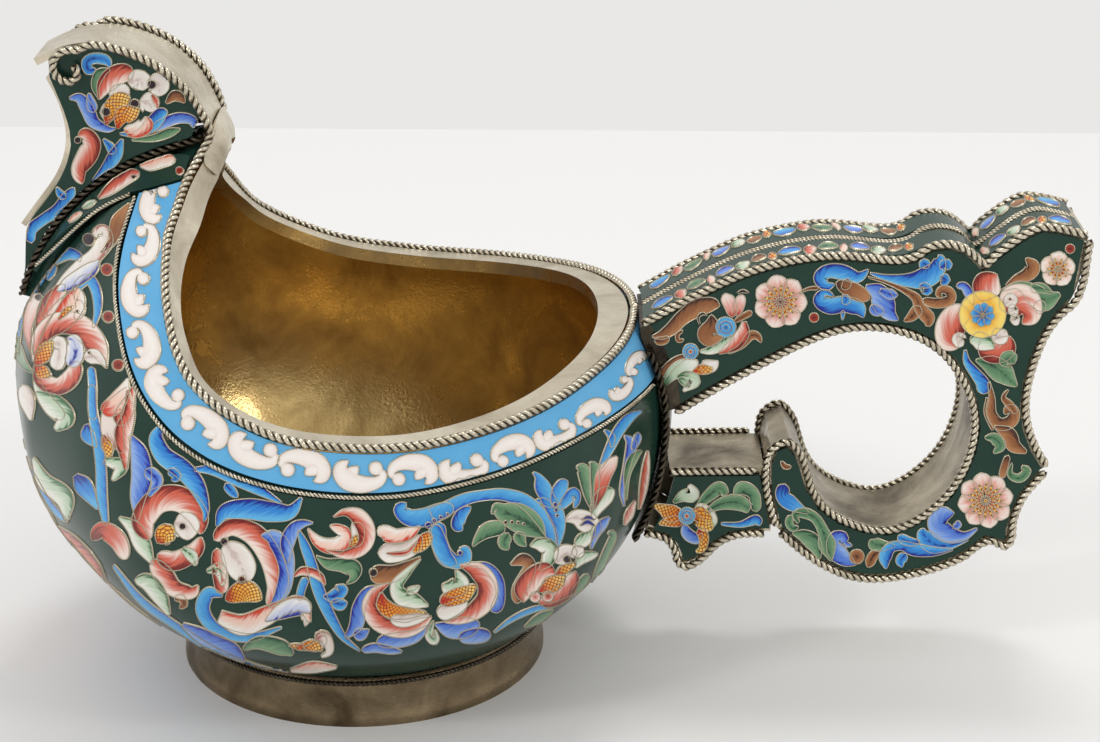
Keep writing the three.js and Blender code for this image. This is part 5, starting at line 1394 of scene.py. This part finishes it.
        ("navy", "pp", "core", 3, [(955, 800, 4), (1000, 775, 12), (1045, 800, 5)]),
        ("navy", "pp", "core", 3, [(965, 760, 3), (1005, 745, 10), (1042, 762, 4)]),
        ("lilac", "pp", "across", 1, [(1025, 950, 5), (1055, 860, 20), (1100, 790, 26), (1145, 745, 5)]),
        ("leafWhite", "pr", "across", 1, [(1040, 765, 6), (1065, 680, 40), (1115, 610, 50), (1175, 570, 30)]),
        ("sage", "pp", "across", 0, [(1040, 710, 5), (1010, 620, 20), (990, 520, 30), (975, 440, 34), (935, 425, 6)]),
        ("sage", "pp", "across", 1, [(1040, 700, 5), (1045, 600, 20), (1050, 500, 26), (1045, 420, 24),
         (1015, 400, 4)]),
        ("red", "pp", "along", 1, [(1048, 690, 5), (1080, 580, 34), (1105, 480, 44), (1155, 405, 34), (1192, 358, 5)]),
        ("stem", "pp", "across", 0, [(1085, 430, 10), (1140, 320, 24), (1195, 210, 30), (1265, 120, 28),
         (1350, 70, 6)]),
        ("blue", "pp", "core", 1, [(1160, 300, 8), (1155, 230, 20), (1110, 190, 4)]),
        ("lilac", "pp", "across", 0, [(1240, 680, 4), (1225, 580, 14), (1255, 420, 20), (1285, 280, 30),
         (1240, 225, 5)]),
        ("lilac", "rr", "core", 1, [(1290, 320, 14), (1320, 250, 22), (1330, 205, 10)]),
        ("sage", "pp", "across", 0, [(1250, 640, 4), (1255, 480, 18), (1290, 380, 26), (1350, 320, 5)]),
        ("red", "pp", "across", 0, [(1335, 700, 5), (1360, 560, 22), (1378, 420, 20), (1390, 320, 4)]),
        ("blush", "pp", "across", 1, [(1240, 800, 5), (1270, 730, 24), (1310, 640, 5)]),
        ("sage", "pr", "across", 0, [(1030, 1180, 6), (1080, 1080, 22), (1130, 960, 22), (1170, 860, 20),
         (1130, 850, 14)]),
        ("stem", "pp", "across", 0, [(405, 1485, 5), (520, 1400, 14), (650, 1340, 16), (800, 1300, 14),
         (930, 1235, 4)]),
        ("sage", "pp", "across", 0, [(600, 1450, 5), (700, 1390, 26), (790, 1340, 5)]),
        ("leafWhite", "pp", "across", 0, [(720, 1445, 5), (820, 1375, 26), (885, 1335, 4)]),
        ("red", "pp", "across", 0, [(540, 1530, 5), (640, 1475, 22), (722, 1430, 4)]),
        ("sage", "rr", "across", 0, [(900, 1240, 14), (960, 1180, 26), (1010, 1110, 20)]),
        ("red", "pp", "back", 1, [(190, 1055, 6), (290, 1085, 46), (360, 1160, 56), (360, 1260, 56), (290, 1340, 50),
         (190, 1395, 30), (90, 1415, 5)]),
        ("leafWhite", "rp", "across", 2, [(75, 1180, 30), (130, 1200, 50), (200, 1170, 44), (165, 1085, 6)]),
        ("fire", "rp", "along", 3, [(60, 1290, 30), (140, 1260, 44), (220, 1230, 44), (290, 1180, 10)]),
        ("pearl", "rr", "across", 3, [(40, 1350, 40), (110, 1350, 44), (190, 1310, 40), (240, 1280, 14)]),
        ("lilac", "pr", "across", 0, [(250, 1045, 6), (360, 1065, 24), (430, 1140, 30), (450, 1230, 26),
         (430, 1310, 34), (390, 1350, 24)]),
        ("lilac", "pr", "across", 0, [(30, 1430, 6), (120, 1460, 50), (220, 1450, 60), (320, 1430, 30)]),
        ("lilac", "rr", "across", 0, [(180, 1520, 30), (290, 1505, 44), (390, 1500, 30)]),
    ], "flowers": [],
    "discs": [
        ("dark", (868, 1012), 24, 4),
        ("red", (750, 1250), 36, 3),
        ("blush", (668, 1255), 34, 3),
        ("navy", (795, 665), 14, 3),
        ("navy", (800, 700), 12, 3),
        ("navy", (806, 735), 10, 3),
        ("dark", (480, 780), 12, 2),
        ("dark", (520, 778), 11, 2),
        ("dark", (560, 782), 10, 2),
        ("dark", (595, 790), 9, 2),
        ("navy", (190, 975), 16, 2),
    ],
    "rosettes": []},
    {"zone": "prow", "view": (20, 0, 5), "strokes": [
        ("blue", "rr", "core", 0, [(380, 345, 12), (345, 350, 22), (335, 310, 24), (375, 290, 24), (430, 300, 22),
         (455, 335, 8)]),
        ("sage", "pp", "across", 0, [(395, 490, 4), (378, 430, 18), (400, 370, 24), (450, 345, 6)]),
        ("red", "pr", "across", 1, [(395, 495, 6), (430, 420, 40), (490, 370, 44), (570, 360, 36)]),
        ("pearl", "rr", "core", 1, [(540, 410, 40), (600, 400, 46), (620, 450, 40)]),
        ("pearl", "rr", "core", 2, [(640, 400, 40), (690, 420, 50), (700, 480, 40)]),
        ("pearl", "rr", "core", 2, [(600, 500, 50), (650, 520, 50), (660, 560, 30)]),
        ("pearl", "rr", "core", 2, [(400, 560, 34), (440, 560, 50), (480, 580, 30)]),
        ("pearl", "rr", "core", 1, [(450, 490, 30), (500, 460, 40), (550, 470, 34)]),
        ("gold", "pp", "along", 3, [(430, 620, 6), (460, 550, 40), (510, 500, 44), (550, 480, 8)]),
        ("fire", "pp", "along", 4, [(490, 640, 6), (510, 580, 36), (560, 560, 36), (600, 540, 5)]),
        ("whiteRed", "rr", "back", 3, [(520, 640, 20), (580, 650, 34), (630, 620, 36), (630, 580, 16)]),
        ("red", "pp", "core", 4, [(660, 470, 4), (680, 500, 14), (690, 535, 4)]),
        ("lilac", "pp", "across", 0, [(248, 490, 6), (300, 490, 22), (340, 550, 30), (370, 610, 26), (440, 645, 14),
         (480, 640, 3)]),
        ("lilac", "rp", "core", 1, [(370, 560, 24), (355, 510, 20), (345, 465, 6)]),
        ("blue", "pr", "across", 0, [(500, 668, 4), (590, 668, 18), (660, 620, 32), (705, 570, 30), (740, 555, 16)]),
        ("lilac", "pr", "across", 0, [(620, 670, 6), (700, 625, 22), (790, 590, 24), (860, 600, 20), (870, 640, 14)]),
        ("sage", "pp", "across", 0, [(560, 700, 4), (670, 690, 16), (750, 662, 20), (802, 645, 5)]),
        ("brown", "pp", "across", 0, [(732, 515, 6), (770, 480, 24), (800, 485, 22), (825, 512, 5)]),
        ("red", "rr", "back", 0, [(310, 920, 20), (295, 850, 34), (335, 780, 46), (360, 720, 40), (330, 670, 30),
         (290, 675, 18)]),
        ("blue", "pp", "across", 0, [(365, 905, 6), (430, 840, 22), (480, 770, 30), (512, 695, 6)]),
        ("blue", "rp", "core", 1, [(470, 770, 20), (450, 730, 18), (418, 695, 5)]),
        ("blue", "rr", "across", 0, [(60, 1215, 20), (55, 1150, 26), (120, 1095, 24), (190, 1050, 28), (240, 990, 30),
         (272, 935, 12)]),
        ("blue", "rp", "core", 1, [(230, 990, 20), (200, 965, 16), (185, 935, 5)]),
    ], "flowers": [],
    "discs": [
        ("dark", (660, 420), 22, 4),
        ("dark", (575, 515), 22, 4),
        ("dark", (432, 556), 22, 4),
        ("dark", (290, 698), 17, 2),
    ],
    "rosettes": []},
    {"zone": "collar", "view": (20, 0, 5), "strokes": [
        ("whiteRed", "pr", "across", 0, [(600, 832, 4), (650, 830, 22), (710, 808, 28), (780, 795, 20)]),
        ("red", "pr", "across", 0, [(395, 992, 5), (450, 950, 24), (530, 890, 30), (600, 862, 20)]),
        ("leafWhite", "pp", "core", 0, [(315, 1042, 4), (350, 1022, 14), (382, 1005, 4)]),
        ("whiteRed", "pp", "across", 0, [(245, 1112, 4), (280, 1085, 12), (312, 1060, 4)]),
    ], "flowers": [],
    "discs": [("stud", (800, 856), 20), ("dark", (572, 888), 11, 2)],
    "rosettes": []},
    {"zone": "bowlFront", "view": (0, 0, 1.82), "strokes": [
        ("blue", "pp", "core", 0, [(4, -120, 4), (7, -200, 8), (7, -300, 9), (5, -430, 4)]),
        ("red", "pr", "across", 1, [(14, -190, 6), (60, -215, 26), (105, -270, 34), (100, -335, 28), (60, -365, 12)]),
        ("pearl", "rr", "core", 2, [(44, -250, 14), (72, -290, 22), (64, -330, 14)]),
        ("fire", "pp", "along", 2, [(14, -215, 6), (26, -260, 18), (30, -310, 18), (16, -345, 5)]),
        ("white", "pp", "across", 1, [(12, -350, 6), (40, -380, 20), (80, -400, 22), (110, -440, 6)]),
        ("blue", "pr", "across", 0, [(14, -130, 5), (70, -130, 18), (130, -150, 24), (170, -200, 22), (150, -240, 14),
         (125, -225, 8)]),
        ("lilac", "pp", "across", 0, [(100, -110, 5), (170, -120, 20), (240, -140, 24), (300, -180, 5)]),
        ("sage", "pp", "core", 0, [(190, -165, 5), (215, -190, 14), (212, -225, 14), (190, -255, 5)]),
        ("leafWhite", "pp", "across", 1, [(120, -300, 5), (150, -330, 20), (165, -370, 22), (150, -420, 5)]),
        ("sage", "pp", "core", 0, [(12, -105, 5), (60, -100, 14), (120, -95, 16), (180, -90, 5)]),
        ("red", "rp", "core", 1, [(200, -106, 13), (250, -104, 15), (300, -120, 5)]),
        ("blue", "pp", "across", 0, [(150, -440, 5), (190, -430, 16), (230, -400, 20), (300, -400, 5)]),
        ("brown", "pp", "across", 0, [(240, -330, 4), (250, -300, 12), (290, -290, 12), (330, -310, 4)]),
    ], "flowers": [("rose", (322, -238), 40, 6, 10, 8, 0)],
    "discs": [("stud", (190, -312), 11), ("stud", (58, -448), 11), ("stud", (264, -200), 10)],
    "rosettes": []},
]


def paintView(page):
    left, top, zoom = page["view"]

    def at(spot):
        return left + spot[0] / zoom, top + spot[1] / zoom

    for paint, ends, flow, layer, stations in page["strokes"]:
        line = [(*at(station), station[2] / zoom * strokeLay["swell"]) for station in stations]
        stroke(page["zone"], paint, line, ends=ends, flow=flow, layer=layer)
    for paint, centre, radius, *choices in page["flowers"]:
        flower(page["zone"], paint, at(centre), radius / zoom, *choices)
    for paint, centre, radius, *layer in page["discs"]:
        disc(page["zone"], paint, at(centre), radius / zoom, *layer)
    for centre, radius in page["rosettes"]:
        rosette(page["zone"], at(centre), radius / zoom)


for page in paintBook:
    paintView(page)

# Running ornament for a lane on top of the handle, in picture points. A unit is its paint, length, half
# width, flow and ends; shape is the half width's share along it.
laneRuns = {
    "lanes": [
        [(650, 310), (670, 299), (690, 288), (710, 279), (730, 270), (750, 262), (770, 256), (790, 252), (810, 249),
         (830, 247), (850, 247), (870, 249), (890, 250), (912, 245), (930, 239)],
        [(978, 251), (986, 249), (995, 243), (1005, 236), (1015, 229), (1025, 224), (1035, 220), (1047, 219),
         (1060, 221), (1074, 225)],
    ],
    "units": [
        ("blue", 24, 2.7, "across", "pr"), ("red", 13, 3.1, "along", "pr"), ("sage", 20, 2.6, "core", "pp"),
        ("whiteRed", 8, 3.6, "along", "rr"), ("lilac", 20, 2.6, "across", "rp"), ("leafWhite", 15, 2.8, "along", "pp"),
        ("brown", 16, 2.4, "across", "rp"), ("fire", 9, 2.8, "along", "pr"),
    ],
    "gap": 1.6, "sway": 1.3, "start": 3.0, "spare": 2, "firstUnit": 3,
    "shape": [(0.0, 0.35), (0.3, 1.25), (0.7, 1.1), (1.0, 0.3)],
}


def paintLane(kit, lane, number):
    line = softLine([(x, y, 1) for x, y in lane], 1.0)[:, :2]
    reached = lengthAlong(line)

    def at(gone, aside):
        here, ahead = [
            np.array([np.interp(place, reached, line[:, k]) for k in range(2)]) for place in (gone, gone + 1)
        ]
        run = (ahead - here) / max(np.linalg.norm(ahead - here), 1e-6)
        return here + np.array([-run[1], run[0]]) * aside

    gone = kit["start"]
    while True:
        paint, long, half, flow, ends = kit["units"][number % len(kit["units"])]
        if gone + long + kit["spare"] > reached[-1]:
            return
        sway = kit["sway"] * (1 if number % 2 else -1)
        stations = [(*at(gone + long * t, sway * math.sin(math.pi * t)), half * wide) for t, wide in kit["shape"]]
        stroke("handleTop", paint, stations, ends=ends, flow=flow)
        gone += long + kit["gap"]
        number += 1


for number, lane in enumerate(laneRuns["lanes"]):
    paintLane(laneRuns, lane, number * laneRuns["firstUnit"])

# White scrolls along the pale band: each opens to the rim or away from it, with its ball at one end.
# The first four turn their ball back towards the prow, and the others take turns.
bandScrolls = {
    "centres": [
        (156, 203), (144, 245), (139, 293), (142, 345), (166, 387), (204, 428), (254, 449), (304, 468), (360, 473),
        (413, 473), (463, 468), (513, 452), (554, 434), (593, 414), (620, 388), (636, 364),
    ],
    "halfWidths": [13, 14, 15, 16, 16, 16, 16, 16, 17, 17, 16, 15, 14, 12, 9, 7],
    "turnedBack": 4, "halfShare": 0.52, "paint": "scroll",
    "body": [
        (0.66, 0.26, 0.13), (0.84, -0.04, 0.15), (0.66, -0.46, 0.21), (0.16, -0.66, 0.3), (-0.38, -0.5, 0.35),
        (-0.68, -0.02, 0.31), (-0.64, 0.42, 0.21), (-0.42, 0.7, 0.06),
    ],
    "ball": (0.56, 0.32, 0.25),
    "lobe": [(-0.5, -0.12, 0.22), (-0.24, 0.1, 0.19), (-0.08, 0.4, 0.11)],
}


def paintScrolls(kit):
    centres = [Vector(spot) for spot in kit["centres"]]
    for number, centre in enumerate(centres):
        before, after = centres[max(number - 1, 0)], centres[min(number + 1, len(centres) - 1)]
        along = (after - before).normalized()
        half = min((other - centre).length for other in (before, after) if other != centre) * kit["halfShare"]
        across = Vector((along.y, -along.x)) * kit["halfWidths"][number]
        opens = 1 if number % 2 == 0 else -1
        ends = -1 if number < kit["turnedBack"] or number % 2 else 1

        def at(u, v):
            return centre + along * (half * u * ends) + across * (v * opens)

        for layer, part in enumerate(("body", "lobe")):
            line = [(*at(u, v), width * half) for u, v, width in kit[part]]
            stroke("border", kit["paint"], line, ends="rr", layer=layer, group=number)
        u, v, width = kit["ball"]
        disc("border", kit["paint"], at(u, v), width * half, layer=2, group=number)


paintScrolls(bandScrolls)
paintedZones = {
    "handle": "enamel_handle", "bracket": "enamel_bracket", "bowl": "enamel_bowl", "bowlFront": "enamel_bowl",
    "border": "enamel_border", "collar": "enamel_collar", "prow": "enamel_prow", "handleTop": "enamel_handle_top",
}
for zone, slot in paintedZones.items():
    buildStrokes(zone, slot)
print("enamel painted")

# Stage: a white table that ends in front of a pale wall, lamps and the camera. Each lamp has its place, size
# and power. The room lights the piece at a plain level; what the eye and the metal see of it is the wall.
room = {
    "light": 0.82, "tableReach": 2.4, "tableEnd": 372 * mm, "tableRoughness": 0.6, "aim": (0.0, 0.0, 0.06),
    "lamps": {
        "keySoftbox": ((-0.7, -0.6, 0.8), (0.16, 0.16), 2.2), "fillSoftbox": ((0.75, -0.5, 0.7), (0.16, 0.16), 1.4),
        "topSoftbox": ((0.1, 0.3, 1.1), (0.3, 0.2), 2.6),
    },
}
tableWhite, _, _ = newMaterial("tableWhite", **{"Base Color": colour("table"), "Roughness": room["tableRoughness"]})
reach, tableEnd = room["tableReach"], footMiddle.y + room["tableEnd"]
table = bpy.data.meshes.new("tableTop")
table.from_pydata([(-reach, -reach, 0), (reach, -reach, 0), (reach, tableEnd, 0), (-reach, tableEnd, 0)], [],
                  [(0, 1, 2, 3)])
table.materials.append(tableWhite)
addObject("tableTop", table)

for name, (place, size, power) in room["lamps"].items():
    light = bpy.data.lights.new(name, "AREA")
    light.shape = "RECTANGLE"
    light.size, light.size_y = size
    light.energy = power
    lamp = addObject(name, light)
    lamp.location = place
    lamp.rotation_euler = (Vector(room["aim"]) - Vector(place)).to_track_quat("-Z", "Y").to_euler()

world = bpy.data.worlds.new("studio")
bpy.context.scene.world = world
world.use_nodes = True
studio = world.node_tree
around = studio.nodes["Background"]
around.inputs["Color"].default_value = (1, 1, 1, 1)
around.inputs["Strength"].default_value = room["light"]
seen = addNode(studio, "ShaderNodeBackground", Color=colour("wall"), Strength=1.0)
path = addNode(studio, "ShaderNodeLightPath")
either, anySeen = mathNode(studio, "MAXIMUM"), mathNode(studio, "MAXIMUM")
share = addNode(studio, "ShaderNodeMixShader")
joinUp(
    studio, (path, "Is Camera Ray", either, 0), (path, "Is Glossy Ray", either, 1), (either, 0, anySeen, 0),
    (path, "Is Transmission Ray", anySeen, 1), (anySeen, 0, share, "Fac"), (around, 0, share, 1), (seen, 0, share, 2),
    (share, 0, studio.nodes["World Output"], "Surface"),
)
bpy.context.scene.view_settings.view_transform = "Standard"

lens = bpy.data.cameras.new("photoCamera")
lens.sensor_width = photo["sensor"]
lens.lens = photo["sensor"] * photo["focal"] / photo["width"]
lens.clip_start = 0.01
camera = addObject("photoCamera", lens)
camera.matrix_world = Matrix.Translation(stand) @ turned
bpy.context.scene.camera = camera
print("stage set")
